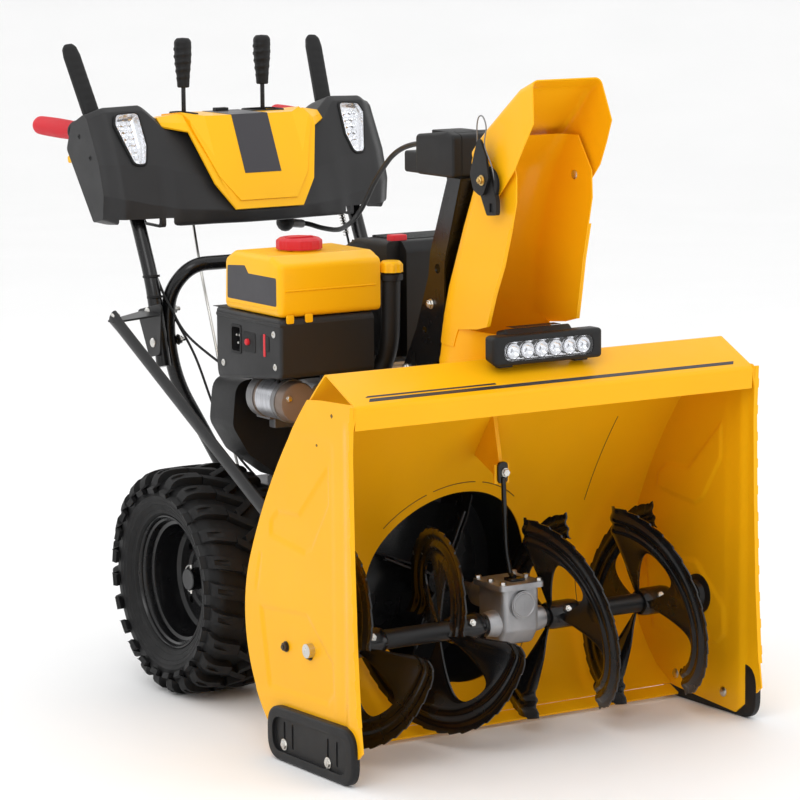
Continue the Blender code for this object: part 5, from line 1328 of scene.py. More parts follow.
def make_engine():
    """The engine and all its covers. Returns the recoil rope, which is built on no body."""
    deck = block((-0.118, 0.118), (0.56, 0.72), (0.3525, 0.366))
    case = prism(rounded(rectangle(-0.105, 0.11, 0.366, 0.54), 0.02, 6), "Y", 0.5925, 0.6555)
    nose = prism(rounded(rectangle(-0.09, 0.09, 0.4, 0.5), 0.02, 6), "Y", 0.5405, 0.6)
    sump = block((-0.105, 0.11), (0.56, 0.6), (0.36, 0.41))
    bore = rod((0, 0.5, CRANK_Z), (0, 0.6, CRANK_Z), 0.0135, 32)
    fins = []
    barrel = prism(rounded(rectangle(-0.054, 0.184, 0.476, 0.566), 0.013, 5), "Y", 0.545, 0.64)
    for k in range(13):
        y = 0.5475 + 0.0072 * k
        fins.append(prism(rounded(rectangle(-0.06, 0.19, 0.47, 0.572), 0.015, 5), "Y", y, y + 0.0026))
    build("engine_crankcase", combine(case, [deck, nose, sump], [bore]), cast, "engine_block", bevel=0.0018)
    build("engine_barrel", [barrel, *fins], cast, bevel=0.0006)
    spout = bent([(-0.032, 0.57, 0.525), (-0.032, 0.505, 0.545), (-0.032, 0.455, 0.61), (-0.032, 0.45, 0.74)],
        0.04, 8)
    neck = turned([(0.016, 0), (0.02, 0.001), (0.02, 0.01), (0.016, 0.012)], (-0.032, 0.45, 0.727), (0, 0, 1),
        32)
    build("oil_filler_tube", [tube(spout, 0.016, 24), neck], plastic, smooth=50)
    bolts = []
    for x in (-0.08, 0.08):
        bolts += hex_head((x, 0.5403, 0.412), (0, -1, 0), 0.011, 0.005, 0.008)
        bolts += hex_head((x, 0.5403, 0.488), (0, -1, 0), 0.011, 0.005, 0.008)
        for y in (0.575, 0.705):
            bolts += hex_head((x * 1.3, y, 0.3662), (0, 0, 1), 0.013, 0.006, 0.01)
    build("engine_bolts", bolts, steel)

    cowl = rounded([(-0.214, 0.548), (-0.222, 0.47), (-0.19, 0.418), (-0.12, 0.3675), (0.11, 0.3675),
        (0.165, 0.43), (0.165, 0.58), (0.12, 0.64), (-0.046, 0.66), (-0.046, 0.548)], 0.03, 7)
    shell = pillow(cowl, "Y", 0.6565, 0.745, 0.012)
    dome = turned([(0, 0), (0.105, 0), (0.105, 0.026), (0.1035, 0.03), (0.094, 0.041), (0.088, 0.0435),
        (0.03, 0.048), (0, 0.048)], (0, 0.742, 0.5), (0, 1, 0), 80)
    slots = []
    for k in range(20):
        a = 2 * math.pi * k / 20
        if abs(math.degrees(a) - 90) < 20:
            continue
        turn = Matrix.Translation((0, 0, 0.5)) @ Matrix.Rotation(a, 4, "Y")
        slots.append(moved(prism(rounded(rectangle(0.044, 0.084, -0.0034, 0.0034), 0.0033, 4), "Y", 0.779,
            0.8), turn))
    build("blower_housing_cowl", combine(shell, [dome], [merge(slots)]), plastic, "blower_housing",
        bevel=0.001)
    hub = turned([(0, 0), (0.026, 0), (0.026, 0.0012), (0.022, 0.0022), (0, 0.0024)], (0, 0.79, 0.5),
        (0, 1, 0), 48)
    build("recoil_hub_cap", hub, grey)
    screws = []
    for k in range(4):
        a = math.radians(45 + 90 * k)
        screws += hex_head((0.098 * math.cos(a), 0.7715, 0.5 + 0.098 * math.sin(a)), (0, 1, 0), 0.009, 0.004,
            0.0065)
    for x, z in ((-0.195, 0.455), (-0.19, 0.53), (0.148, 0.44), (0.148, 0.575), (0.1, 0.625), (-0.03, 0.64)):
        screws += hex_head((x, 0.7445, z), (0, 1, 0), 0.009, 0.0035, 0.0065)
    build("cowl_screws", screws, steel)
    rib = []
    for k in range(7):
        z = 0.445 + 0.018 * k
        rib.append(pillow(rounded(rectangle(0.684, 0.734, z - 0.0032, z + 0.0032), 0.003, 4), "X", 0.1645,
            0.1668, 0.0008))
    build("cowl_louvres", rib, soft_black)

    # Muffler behind its guard on the machine's left
    guard = pillow(rounded(rectangle(0.56, 0.65, 0.47, 0.566), 0.014, 6), "X", 0.1905, 0.236, 0.008)
    cuts = [prism(rounded(rectangle(0.572, 0.638, 0.4835 + 0.0125 * k, 0.4895 + 0.0125 * k), 0.0029, 4), "X",
        0.23, 0.25) for k in range(6)]
    build("muffler_guard", combine(guard, [], [merge(cuts)]), black_satin, bevel=0.0008)

    # Fuel tank
    profile = rounded([(0.4448, 0.6785), (0.632, 0.6785), (0.628, 0.764), (0.6, 0.778), (0.48, 0.778),
        (0.4448, 0.766)], 0.013, 6)
    tank = pillow(profile, "X", -0.25, -0.048, 0.01, 0.01)
    collar = turned([(0, 0), (0.034, 0), (0.034, 0.009), (0.033, 0.0098), (0, 0.01)], (-0.156, 0.54, 0.77),
        (0, 0, 1), 56)
    notch = block((-0.056, 0.0), (0.43, 0.472), (0.66, 0.8))
    build("fuel_tank_shell", combine(tank, [collar], [notch]), yellow_plastic, "fuel_tank", bevel=0.0008)
    band = rounded([(0.458, 0.697), (0.618, 0.697), (0.6165, 0.752), (0.56, 0.7565), (0.548, 0.744),
        (0.458, 0.744)], 0.004, 4)
    build("tank_band", prism(band, "X", -0.25035, -0.249), decal)
    weld = [tube([Vector((-0.25, y, 0.6915)) for y in (0.455, 0.54, 0.622)], 0.0012, 8),
        tube([Vector((x, 0.4446, 0.723)) for x in (-0.24, -0.15, -0.066)], 0.0016, 8)]
    build("tank_seam", weld, yellow_plastic, smooth=60)
    clips = []
    for x in (-0.232, -0.196):
        clips.append(pillow(rounded(rectangle(x - 0.007, x + 0.007, 0.669, 0.6835), 0.003, 4), "Y", 0.446,
            0.4432, 0.0008))
    build("tank_clips", clips, yellow_plastic)

    def knurl(a, r, s):
        return 1.0 + (0.035 * max(0.0, math.cos(12 * a)) ** 0.6 if r > 0.034 and s < 0.0148 else 0.0)
    cap = turned([(0, 0), (0.0375, 0), (0.0375, 0.006), (0.0375, 0.012), (0.037, 0.0145), (0.0335, 0.018),
        (0.03, 0.019), (0.028, 0.0175), (0.0, 0.0175)], (-0.156, 0.54, 0.7805), (0, 0, 1), 144, knurl)
    bar = pillow(rounded(rectangle(-0.182, -0.13, 0.5345, 0.5455), 0.004, 4), "Z", 0.7972, 0.8008, 0.0012)
    build("fuel_cap_knob", [cap, bar], red, "fuel_cap", body="fuel_cap", smooth=32)

    # Switch box
    profile = rounded([(0.4448, 0.578), (0.655, 0.5555), (0.687, 0.6775), (0.4448, 0.6775)], 0.012, 6)
    box = pillow(profile, "X", -0.25, -0.056, 0.006, 0.006)
    lip = pillow(rounded([(0.4446, 0.6635), (0.684, 0.6635), (0.686, 0.6695), (0.4446, 0.6695)], 0.0025, 3),
        "X", -0.2515, -0.0565, 0.0015, 0.0015)
    cuts = [rod((-0.3, 0.552, 0.629), (-0.24, 0.552, 0.629), 0.0062, 24),
        block((-0.07, 0.0), (0.43, 0.472), (0.54, 0.7)), block((-0.3, 0.0), (0.6555, 0.7), (0.5, 0.6766)),
        block((-0.2475, -0.03), (0.54, 0.6555), (0.54, 0.58)), prism(rounded(rectangle(0.578, 0.604, 0.61,
        0.65), 0.004, 4), "X", -0.26, -0.236)]
    build("switch_box_case", combine(box, [lip], cuts), grey, "switch_box", slot="black_plastic", bevel=0.001)
    prongs = [rod((-0.237, 0.591 + dy, 0.63 + dz), (-0.2475, 0.591 + dy, 0.63 + dz), 0.0022, 14,
        0.0008) for dy, dz in ((-0.005, 0.006), (0.005, 0.006), (0.0, -0.007))]
    build("inlet_prongs", prongs, steel)
    rimmed = combine(pillow(rounded(rectangle(0.5735, 0.6085, 0.6055, 0.6545), 0.006, 5), "X", -0.2495,
        -0.2512, 0.0008), [], [prism(rounded(rectangle(0.578, 0.604, 0.61, 0.65), 0.004, 4), "X", -0.26,
        -0.236)])
    build("inlet_rim", rimmed, soft_black)
    plate = combine(pillow(rounded(rectangle(0.527, 0.57, 0.612, 0.646), 0.005, 5), "X", -0.2495, -0.2508,
        0.0006), [], [rod((-0.3, 0.552, 0.629), (-0.24, 0.552, 0.629), 0.0062, 24)])
    build("button_plate", plate, soft_black)
    button = turned([(0, 0), (0.0055, 0), (0.0055, 0.0085), (0.005, 0.0098), (0.0036, 0.0105), (0, 0.0103)],
        (-0.2445, 0.552, 0.629), (-1, 0, 0), 32)
    build("start_button_cap", button, red, "start_button", body="start_button")
    screws = []
    for y, z in ((0.468, 0.65), (0.464, 0.596), (0.635, 0.585)):
        screws += screw_head((-0.2497, y, z), (-1, 0, 0), 0.0058, 0.0022)
    build("switch_box_screws", screws, steel)
    key = [pillow(rounded(rectangle(0.482, 0.513, 0.619, 0.645), 0.004, 4), "X", -0.2495, -0.251, 0.0008)]
    build("switch_surround", key, soft_black)
    key = [pillow(rounded(rectangle(0.494, 0.501, 0.61, 0.648), 0.0025, 4), "X", -0.2505, -0.2512, 0.0006)]
    build("switch_key", key, red)

    # Electric starter
    base = Vector((-0.197, 0.478, 0.531))
    build("starter_can", turned([(0, 0.024), (0.0346, 0.024), (0.0346, 0.092), (0, 0.092)], base, (0, 1, 0),
        64), taupe, "starter_motor")
    nose = turned([(0, 0), (0.029, 0.0), (0.0325, 0.0012), (0.0345, 0.0045), (0.0346, 0.024), (0, 0.024)],
        base, (0, 1, 0), 64)
    build("starter_nose", nose, taupe)
    rings = [turned([(0.03, 0.0215), (0.0365, 0.0215), (0.0365, 0.033), (0.03, 0.033)], base, (0, 1, 0), 64),
        turned([(0.03, 0.093), (0.0365, 0.093), (0.0365, 0.113), (0.035, 0.1145), (0.03, 0.1145)], base,
        (0, 1, 0), 64)]
    build("starter_rings", rings, ring_grey, slot="starter_paint", bevel=0.0008)
    build("starter_film", turned([(0.034, 0.036), (0.03495, 0.036), (0.03495, 0.086), (0.034, 0.086)], base,
        (0, 1, 0), 64), foil)
    screws = []
    for dx, dz in ((-0.02, 0.008), (0.02, -0.008)):
        screws += hex_head(base + Vector((dx, 0.0005, dz)), (0, -1, 0), 0.0085, 0.004, 0.0055)
    build("starter_screws", screws, steel)
    lugs = [block((-0.175, -0.106), (0.595, 0.615), (0.47, 0.53)), block((-0.2, -0.17), (0.57, 0.615),
        (0.49, 0.53))]
    build("starter_foot", combine(lugs[0], [lugs[1]]), dark_cast, bevel=0.002)
    wire = smooth_route([(-0.215, 0.512, 0.562), (-0.222, 0.505, 0.574), (-0.214, 0.495, 0.58),
        (-0.196, 0.5, 0.582)], 8)
    build("starter_wire", tube(wire, 0.003, 12), soft_black, smooth=60)

    # Carburettor heater box
    profile = rounded([(0.475, 0.59), (0.64, 0.585), (0.64, 0.765), (0.6, 0.783), (0.49, 0.786),
        (0.475, 0.77)], 0.012, 6)
    heater = combine(pillow(profile, "X", -0.012, 0.195, 0.008, 0.008), [],
        [block((-0.02, 0.015), (0.46, 0.495), (0.56, 0.8)), prism(rounded(rectangle(0.5, 0.62, 0.61, 0.74),
        0.01, 5), "X", 0.1925, 0.22)])
    build("heater_box_case", heater, plastic, "heater_box", bevel=0.0008)
    ribs = [pillow(rounded(rectangle(0.02, 0.18, 0.515 + 0.012 * k, 0.5205 + 0.012 * k), 0.0026, 4), "Z",
        0.78, 0.7872, 0.001) for k in range(7)]
    build("heater_box_ribs", ribs, grey)
    knob = [pillow(rounded(rectangle(0.004, 0.034, 0.5, 0.522), 0.005, 5), "Z", 0.78, 0.795, 0.002)]
    build("choke_knob", knob, red)
    bands = []
    for z in (0.625, 0.65, 0.675, 0.7, 0.725):
        bands.append(pillow(rounded(rectangle(0.508, 0.612, z - 0.004, z + 0.004), 0.0035, 4), "X", 0.1915,
            0.1942, 0.0008))
    build("heater_box_louvres", bands, soft_black)

    def flute(a, r, s):
        return 1.0 + (0.05 * math.cos(9 * a) if r > 0.018 and s < 0.016 else 0.0)
    stick = turned([(0, 0), (0.0192, 0), (0.0192, 0.0125), (0.018, 0.0155), (0.015, 0.0185), (0, 0.019)],
        (-0.032, 0.45, 0.741), (0, 0, 1), 108, flute)
    build("dipstick_cap", stick, yellow_plastic, "dipstick", body="dipstick", smooth=32)

    path = bent([(-0.055, 0.803, 0.56), (0.0, 0.808, 0.56), (0.055, 0.803, 0.56)], 0.03, 8)
    grip = tube(path, 0.0095, 24, 1.0, lambda t: 0.8 + 0.2 * math.sin(math.pi * min(max(t, 0.03),
        0.97)) ** 0.5)
    boss = turned([(0, 0), (0.0105, 0), (0.0085, 0.01), (0.004, 0.014), (0, 0.014)], (0, 0.802, 0.56),
        (0, -1, 0), 28)
    build("recoil_grip", [grip, boss], soft_black, "recoil_handle", body="recoil_handle", smooth=60)
    rope = [Vector((0, 0.77, 0.56)) + Vector((0, 0.03, 0)) * (k / 16) for k in range(17)]
    made = build("recoil_rope", tube(rope, 0.0021, 12), ring_grey, body=None, slot="black_plastic", smooth=60)
    return made


# Handles

def make_handles():
    """Handle hoop, upper tubes, grips and side braces."""
    right = [(-0.138, 0.77, 0.3), (-0.138, 0.822, 0.352), (-0.15, 0.872, 0.415), (-0.185, 0.915, 0.51),
        (-0.197, 0.926, 0.59), (-0.197, 0.918, 0.672), (-0.17, 0.885, 0.722)]
    path = right + mirrored(right)[::-1]
    build("handle_hoop_tube", tube(bent(path, 0.045, 8), HANDLE_RADIUS, 28), black, "handle_hoop", smooth=50)
    side_path = [(-0.223, 0.893, 0.545), (-0.223, 0.93, 0.69), (-0.223, 0.985, 0.805), (-0.235, 1.06, 0.925),
        (-0.24, 1.11, 0.94), (-0.249, 1.2885, 0.944)]
    tubes = [tube(bent(side_path, 0.035, 8), HANDLE_RADIUS, 28), tube(bent(mirrored(side_path), 0.035, 8),
        HANDLE_RADIUS, 28), tube([Vector((-0.226, 1.02, 0.86)), Vector((0.226, 1.02, 0.86))], 0.009, 20)]
    build("upper_handle_tubes", tubes, black, "upper_handle", smooth=50)

    for name, side in SIDES:
        tip = Vector((side * 0.249, 1.2885, 0.944))
        ahead = (tip - Vector((side * 0.24, 1.11, 0.94))).normalized()
        start = tip - ahead * 0.13
        grip_profile = [(0.0134, 0.01)]
        for k in range(32):
            s = 0.011 + 0.0038 * k
            body = 0.0163 + 0.001 * math.sin(math.pi * (s - 0.011) / 0.122)
            grip_profile += [(body, s), (body + 0.0004, s + 0.0006), (body + 0.0004, s + 0.0022),
                (body, s + 0.0028)]
        grip_profile += [(0.0164, 0.135), (0.015, 0.1384), (0.012, 0.14), (0, 0.1401), (0, 0.1315),
            (0.0134, 0.1315)]
        build(f"grip_sleeve_{name}", turned(grip_profile, start, ahead, 48), red_grip, f"grip_{name}",
            smooth=25)
        collar = turned([(0.0134, 0), (0.0186, 0), (0.019, 0.001), (0.019, 0.006), (0.018, 0.0085),
            (0.0164, 0.0098), (0.0134, 0.0098)], start, ahead, 48)
        build(f"grip_collar_{name}", collar, soft_black)

        low = Vector((side * 0.346, 0.326, 0.3782))
        high = Vector((side * 0.346, 0.846, 0.6465))
        bar = tube([lerp(low, high, k / 20) for k in range(21)], 0.0125, 28, 0.55,
            lambda t: 1.0 + 0.1 * step((0.06 - t) / 0.06) + 0.1 * step((t - 0.94) / 0.06))
        build(f"brace_bar_{name}", bar, black_satin, f"brace_{name}", smooth=50)
        foot = combine(block(sorted((side * 0.33, side * 0.362)), (0.303, 0.33), (0.355, 0.392)), [],
            [housing_interior(0.0014)])
        wing_outline = rounded([(side * 0.239, 0.935), (side * 0.239, 0.868), (side * 0.354, 0.826),
            (side * 0.354, 0.852)], 0.006, 4)
        wing = prism(wing_outline, "Z", 0.638, 0.6415)
        cheek = prism(rounded([(0.876, 0.57), (0.915, 0.56), (0.958, 0.64), (0.868, 0.66)], 0.01, 5), "X",
            *sorted((side * 0.2365, side * 0.24)))
        build(f"brace_brackets_{name}", [foot, wing, cheek], black_satin, bevel=0.0009)
        bolts = dome_head((side * 0.24, 0.9, 0.588), (side, 0, 0), 0.0085, 0.0035)
        bolts += dome_head((side * 0.24, 0.918, 0.64), (side, 0, 0), 0.0085, 0.0035)
        for y, z in ((0.9, 0.588), (0.918, 0.64)):
            bolts += hex_head((side * 0.1845, y + 0.01, z), (-side, 0, 0), 0.013, 0.006, 0.0095, 0.007)
        bolts += dome_head((side * 0.346, 0.838, 0.6505), (0, -0.4, 0.9), 0.0085, 0.0035)
        bolts += hex_head((side * 0.346, 0.3105, 0.3925), (0, -0.2, 1), 0.0125, 0.005, 0.009, 0.003)
        build(f"brace_bolts_{name}", bolts, steel)
    bolts = []
    for side in (-1, 1):
        for y, z in ((0.782, 0.312), (0.81, 0.34)):
            bolts += hex_head((side * 0.151, y, z), (side, 0, 0), 0.0135, 0.006, 0.01)
    build("hoop_bolts", bolts, steel)


# Panel and controls

def panel_sections():
    """Sections through the panel at several X, each with the same number of corners."""
    centre = [(0.905, 0.786), (0.902, 0.806), (0.93, 0.867), (0.975, 0.95), (1.0, 0.961), (1.075, 0.95),
        (1.105, 0.905), (1.0, 0.786)]
    shoulder = [(0.915, 0.786), (0.912, 0.812), (0.938, 0.869), (0.984, 0.953), (1.006, 0.963),
        (1.075, 0.952), (1.106, 0.905), (1.0, 0.786)]
    valley = [(0.925, 0.785), (0.924, 0.815), (0.945, 0.88), (0.985, 0.95), (1.01, 0.966), (1.078, 0.956),
        (1.108, 0.907), (1.003, 0.785)]
    lobe_inner = [(0.936, 0.783), (0.938, 0.822), (0.958, 0.892), (1.004, 0.985), (1.018, 0.994),
        (1.076, 0.978), (1.11, 0.912), (1.006, 0.784)]
    lobe_outer = [(0.948, 0.788), (0.947, 0.835), (0.965, 0.894), (1.012, 0.984), (1.026, 0.992),
        (1.08, 0.975), (1.11, 0.915), (1.01, 0.786)]
    rim = [(0.976, 0.8), (0.972, 0.842), (0.988, 0.895), (1.03, 0.972), (1.042, 0.98), (1.09, 0.96),
        (1.108, 0.915), (1.012, 0.792)]
    right = [(-0.293, rim), (-0.262, lobe_outer), (-0.198, lobe_inner), (-0.16, valley), (-0.105, shoulder),
        (-0.04, centre)]
    return right + [(-x, ring) for x, ring in right[::-1]]


def panel_rings(scale=1.0, steps=8):
    """The panel's outline rings, or smaller ones for its hollow."""
    sections = panel_sections()
    rings = []
    for number, ((x0, a), (x1, b)) in enumerate(zip(sections, sections[1:])):
        last = number == len(sections) - 2
        for k in range(steps + (1 if last else 0)):
            t = k / steps
            bend = step(t) * 0.55 + t * 0.45
            x = lerp(x0, x1, t)
            ring = [(lerp(p[0], q[0], bend), lerp(p[1], q[1], bend)) for p, q in zip(a, b)]
            ring = rounded(ring, 0.0085, 4)
            if scale != 1.0:
                x *= 0.965
                ring = [(1.018 + (y - 1.018) * scale, 0.88 + (z - 0.88) * scale - 0.006) for y, z in ring]
            rings.append([(x, y, z) for y, z in ring])
    return rings


def lamp_matrix(side):
    """A frame on a lamp's face: X outboard, Y up the face, Z straight out of it."""
    up = Vector((0, 0.443, 0.896)).normalized()
    out = Vector((side * 0.04, -0.896, 0.443)).normalized()
    across = up.cross(out).normalized()
    if across.x * side < 0:
        across = -across
    up = out.cross(across) * (1 if out.cross(across).z > 0 else -1)
    matrix = Matrix((across, up, out)).transposed().to_4x4()
    matrix.translation = Vector((side * 0.228, 0.979, 0.933))
    return matrix


LAMP = [(-0.0205, 0.054), (0.022, 0.052), (0.028, 0.034), (0.008, -0.042), (-0.013, -0.044),
    (-0.0225, -0.008)]


def make_panel():
    """Panel with lamp pods, yellow cover, film and slots."""
    cuts = [loft(panel_rings(0.9))]
    for (x, y), wide, deep in (((-0.09, 1.045), 0.012, 0.036), ((0.073, 1.045), 0.03, 0.03)):
        cuts.append(block((x - wide, x + wide), (y - deep, y + deep), (0.93, 1.02)))
    for side in (-1, 1):
        cuts.append(block(sorted((side * 0.198, side * 0.272)), (0.935, 1.25), (0.7, 0.8)))
        cuts.append(block(sorted((side * 0.215, side * 0.29)), (1.05, 1.25), (0.87, 1.05)))
        cuts.append(moved(prism(rounded(LAMP, 0.01, 6), "Z", -0.03, 0.03), lamp_matrix(side)))
    cuts.append(block((-0.19, 0.19), (0.93, 1.15), (0.7, 0.8)))
    build("panel_shell", combine(loft(panel_rings()), [], cuts), grey, "panel", smooth=38)
    for name, side in SIDES:
        matrix = lamp_matrix(side)
        outline = rounded(LAMP, 0.01, 6)
        bowl_rings = []
        for inset, depth in ((0.0002, 0.0012), (0.0012, -0.003), (0.005, -0.01), (0.01, -0.014),
                (0.013, -0.015)):
            bowl_rings.append([(u, v, depth) for u, v in shrunk(outline, inset)])
        back_rings = []
        for inset, depth in ((0.0002, -0.017),):
            back_rings.append([(u, v, depth) for u, v in shrunk(outline, inset)])
        bowl = moved(loft([back_rings[0], *bowl_rings]), matrix)
        build(f"lamp_bowl_{name}", bowl, chrome, smooth=30)
        facets = []
        for row in range(7):
            for column in range(4):
                u = -0.0165 + 0.0115 * column
                v = -0.036 + 0.0125 * row
                if inside_by((u, v), LAMP) < 0.0065:
                    continue
                facets.append(turned([(0, 0), (0.0062, 0), (0.004, 0.0022), (0, 0.003)], (u, v, -0.0148),
                    (0, 0, 1), 6))
        build(f"lamp_facets_{name}", moved(merge(facets), matrix), chrome, smooth=20)
        cover = moved(pillow(shrunk(outline, 0.0004), "Z", -0.0018, 0.0022, 0.0022), matrix)
        build(f"lamp_lens_{name}", cover, lens, smooth=40)
        bezel = combine(moved(pillow(shrunk(outline, -0.0032), "Z", -0.004, 0.0018, 0.0016), matrix), [],
            [moved(prism(shrunk(outline, 0.0003), "Z", -0.05, 0.05), matrix)])
        build(f"lamp_bezel_{name}", bezel, soft_black, smooth=30)

    lines = {0.166: [(0.99, 0.957), (0.998, 0.963), (1.008, 0.9705), (1.074, 0.96)],
        0.13: [(0.957, 0.948), (0.966, 0.962), (1.0, 0.9765), (1.072, 0.968)],
        0.101: [(0.914, 0.857), (0.933, 0.895), (0.972, 0.97), (1.072, 0.97)],
        0.069: [(0.897, 0.812), (0.918, 0.868), (0.966, 0.97), (1.072, 0.97)]}
    faces = {0.122: [(0.96, 0.952), (0.968, 0.965), (1.0, 0.9765), (1.07, 0.969)],
        0.09: [(0.92, 0.868), (0.936, 0.901), (0.972, 0.9705), (1.07, 0.9705)],
        0.058: [(0.902, 0.826), (0.919, 0.869), (0.967, 0.9705), (1.07, 0.9705)]}

    def skin(lines, low, high):
        rings = []
        for x in [-x for x in lines] + list(lines)[::-1]:
            top = lines[abs(x)]
            rings.append([(x, y, z) for y, z in offset_line(top, high) + offset_line(top, low)[::-1]])
        return loft(rings)
    slots = [prism(rounded(rectangle(-0.1, -0.08, 1.013, 1.077), 0.009, 6), "Z", 0.93, 1.02),
        prism(rounded(rectangle(0.0435, 0.1025, 1.019, 1.071), 0.014, 6), "Z", 0.93, 1.02)]
    build("panel_cover_plate", combine(skin(lines, -0.004, 0.0), [skin(faces, -0.002, 0.0024)], slots),
        yellow_plastic, "panel_cover", bevel=0.0012, segments=3, smooth=12)
    rims = []
    for outline in (rounded(rectangle(-0.1, -0.08, 1.013, 1.077), 0.009, 6),
            rounded(rectangle(0.0435, 0.1025, 1.019, 1.071), 0.014, 6)):
        outer = shrunk(outline, -0.0042)
        rims.append(combine(pillow(outer, "Z", 0.966, 0.975, 0.0015), [], [prism(outline, "Z", 0.93, 1.02)]))
    build("panel_slot_rims", rims, soft_black, smooth=30)
    top = [(0.9202, 0.8715), (0.967, 0.9705), (1.069, 0.9705)]
    stripe = loft([[(x, y, z) for y, z in offset_line(top, 0.0031) + offset_line(top,
        0.0015)[::-1]] for x in (-0.0385, 0.0355)])
    build("panel_stripe", stripe, decal, slot="grey_plastic", smooth=20)
    tab = [pillow(rounded(rectangle(-0.02, 0.006, 1.05, 1.066), 0.003, 4), "Z", 0.968, 0.979, 0.0015)]
    build("panel_switch", tab, soft_black)
    screws = []
    for side in (-1, 1):
        for y, z in ((1.02, 0.905), (1.06, 0.94)):
            screws += screw_head((side * 0.2925, y, z), (side, 0, 0), 0.0045, 0.0018)
    build("panel_screws", screws, soft_black, slot="steel")


def grip_knob(place, height):
    """A hand knob with slanting finger ridges."""
    profile = [(0, 0), (0.0095, 0.0), (0.0108, 0.0015)]
    for k in range(1, 41):
        s = 0.0015 + (height - 0.0095) * k / 40
        t = s / height
        profile.append((along_table([(0, 0.0108), (0.22, 0.0118), (0.6, 0.015), (0.9, 0.0155), (1, 0.015)],
            t), s))
    profile += [(0.014, height - 0.0045), (0.0105, height - 0.001), (0, height)]

    def ridge(a, r, s):
        share = step((s - 0.01) / 0.01) * step((height - 0.012 - s) / 0.01)
        return 1.0 + 0.11 * share * max(0.0, math.sin(s * 470 + 1.6 * math.cos(a))) ** 0.6 * (0.35 + 0.65
            * (0.5 - 0.5 * math.sin(a)))
    return turned(profile, place, (0, 0, 1), 64, ridge)


def make_controls():
    """Clutch levers, triggers, speed lever and joystick."""
    for name, side, label in (("right", -1, "drive_clutch_lever"), ("left", 1, "auger_clutch_lever")):
        x, y, z = side * 0.24, 1.098, 0.958
        foot = Vector((x, y + 0.006, z + 0.004))
        tip = Vector((x + side * 0.014, y + 0.072, z + 0.137))
        axis = (tip - foot).normalized()
        deep = axis.cross(Vector((1, 0, 0))).normalized()
        across = deep.cross(axis)
        length = (tip - foot).length
        sizes = [(0, (0.0115, 0.0065)), (0.12, (0.0158, 0.0095)), (0.85, (0.016, 0.0082)),
            (0.96, (0.0135, 0.007)), (1.0, (0.008, 0.0042))]
        rings = []
        for k in range(41):
            t = k / 40
            wide = along_table([(a, b[0]) for a, b in sizes], t)
            thick = along_table([(a, b[1]) for a, b in sizes], t)
            ribbed = 1.0 + 0.05 * (1 if (k % 4) < 2 and 5 < k < 35 else 0)
            spot = foot + axis * length * t
            ring = []
            for i in range(32):
                a = 2 * math.pi * i / 32
                ca, sa = math.cos(a), math.sin(a)
                px = wide * math.copysign(abs(ca) ** 0.7, ca)
                py = thick * math.copysign(abs(sa) ** 0.7, sa) * (ribbed if sa < 0 else 1.0)
                ring.append(spot + across * px + deep * py)
            rings.append(ring)
        hinge = rod((x - 0.012, y, z), (x + 0.012, y, z), 0.0075, 28, 0.001)
        build(f"{label}_paddle", [loft(rings), hinge], soft_black, label, body=label, smooth=32)
        bits = hex_head((x - 0.0122, y, z), (-1, 0, 0), 0.009, 0.003, 0.0) + hex_head((x + 0.0122, y, z),
            (1, 0, 0), 0.009, 0.003, 0.0)
        build(f"{label}_pin", bits, steel, body=label)

        ty, tz = 1.085, 0.912
        outline = rounded([(ty - 0.008, tz - 0.006), (ty + 0.008, tz - 0.01), (ty + 0.056, tz - 0.026),
            (ty + 0.06, tz - 0.014), (ty + 0.01, tz + 0.008)], 0.004, 5)
        build(f"trigger_blade_{name}", pillow(outline, "X", side * 0.262, side * 0.274, 0.0022, 0.0022),
            yellow_plastic, f"steering_trigger_{name}", body=f"trigger_{name}")

    for name, (x, y, z) in (("speed_lever", (-0.09, 1.045, 0.9)), ("joystick", (0.073, 1.045, 0.91))):
        shank = rod((x, y, z), (x, y, 1.022), 0.004, 24)
        hinge = rod((x - 0.009, y, z), (x + 0.009, y, z), 0.0075, 28, 0.001)
        build(f"{name}_shank", [shank, hinge], black, name, body=name)
        build(f"{name}_knob", grip_knob((x, y, 1.019), 0.0885), soft_black, body=name, smooth=60)
    x, y, z = 0.073, 1.045, 0.91
    yoke = combine(block((x - 0.016, x + 0.016), (y - 0.013, y + 0.013), (z - 0.02, z + 0.011)),
        [rod((x, y - 0.026, 0.8955), (x, y + 0.026, 0.8955), 0.0045, 24)],
        [block((x - 0.0105, x + 0.0105), (y - 0.03, y + 0.03), (z - 0.012, z + 0.03))])
    build("joystick_yoke_frame", yoke, plastic, "joystick_yoke", body="joystick_yoke", bevel=0.0008)


make_drum()
make_adapter()
make_drive()
make_wheels()
make_chute()
make_deflector()
make_chute_control()
make_cables()
recoil_rope = make_engine()
make_handles()
make_panel()
make_controls()

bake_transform(recoil_rope)


# CAD nodes that stay, each with its own surface

KEPT = {"auger_shaft": steel, "worm_wheel": bronze, "impeller_shaft": steel, "auger_pulley": dark_steel,
    "crank_pulley": dark_steel, "auger_belt": rubber, "friction_disc": dark_cast, "friction_wheel": rubber}
for label, finish in KEPT.items():
    node = nodes[label]
    node.data.materials.clear()
    node.data.materials.append(finish)


# Stage

def area_light(name, place, target, size, power, colour=(1, 1, 1), shape_y=None):
    """One soft studio light."""
    data = bpy.data.lights.new(name, "AREA")
    data.energy = power
    data.color = colour
    data.size = size
    if shape_y:
        data.shape = "RECTANGLE"
        data.size_y = shape_y
    lamp = bpy.data.objects.new(name, data)
    bpy.context.scene.collection.objects.link(lamp)
    lamp.location = place
    lamp.rotation_euler = (Vector(target) - Vector(place)).to_track_quat("-Z", "Y").to_euler()
    return lamp


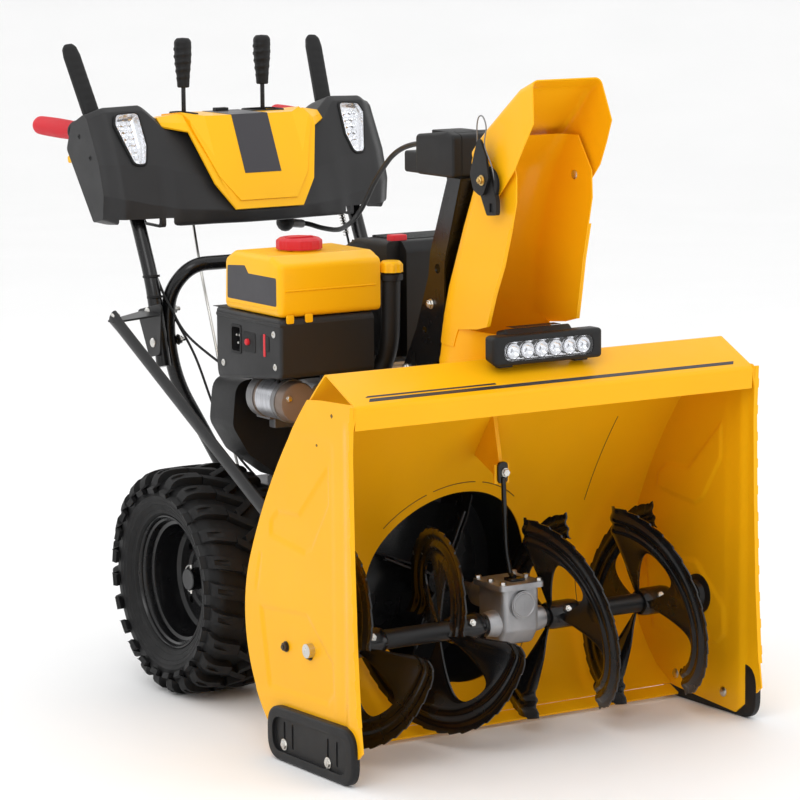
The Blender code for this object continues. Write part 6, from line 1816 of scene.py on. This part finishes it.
floor_material = surface("studio_floor", (0.97, 0.97, 0.97), 0.65, shade=0.01, shade_scale=2.0, spread=0.05)
floor_profile = [(0.0, -0.05), (9.0, -0.05), (12.0, 0.6), (14.0, 2.4), (15.0, 5.0), (14.9, 5.0), (13.9, 2.5),
    (11.9, 0.66), (9.0, 0.0), (0.0, 0.0)]
floor_mesh = turned(floor_profile, (0, 0, 0), (0, 0, 1), 96)
floor_data = bpy.data.meshes.new("studio_floor")
floor_mesh.to_mesh(floor_data)
floor_mesh.free()
floor_data.materials.append(floor_material)
floor_data.shade_smooth()
floor = bpy.data.objects.new("studio_floor", floor_data)
bpy.context.scene.collection.objects.link(floor)
floor.location = (0, 0, -0.0008)

world = bpy.data.worlds.new("studio_world")
bpy.context.scene.world = world
world.use_nodes = True
world.node_tree.nodes["Background"].inputs["Color"].default_value = (1.0, 1.0, 1.0, 1)
world.node_tree.nodes["Background"].inputs["Strength"].default_value = 1.0

area_light("key_light", (-2.6, -2.6, 3.4), (0, -0.1, 0.5), 2.2, 40)
area_light("fill_light", (2.8, -2.4, 2.0), (0, 0, 0.5), 2.6, 12)
area_light("top_light", (0.2, 0.4, 3.6), (0, 0, 0.4), 3.0, 12)
area_light("back_light", (-1.6, 3.2, 2.4), (0, 0, 0.6), 2.4, 14)
bpy.context.scene.view_settings.view_transform = "Standard"
bpy.context.scene.view_settings.look = "None"

camera_data = bpy.data.cameras.new("photo_camera")
camera_data.lens = 162.0
camera_data.sensor_width = 36.0
camera_data.sensor_fit = "HORIZONTAL"
camera_data.shift_x = -0.0717
camera_data.shift_y = 0.0379
camera = bpy.data.objects.new("photo_camera", camera_data)
bpy.context.scene.collection.objects.link(camera)
place = Vector((-3.233, -4.594 - MIDDLE_Y, 1.443 - GROUND_Z))
look = Vector((0, 0.3 - MIDDLE_Y, 0.4898 - GROUND_Z)) - place
camera.matrix_world = (Matrix.Translation(place) @ look.to_track_quat("-Z",
    "Y").to_matrix().to_4x4() @ Matrix.Rotation(math.radians(-0.29), 4, "Z"))
bpy.context.scene.camera = camera
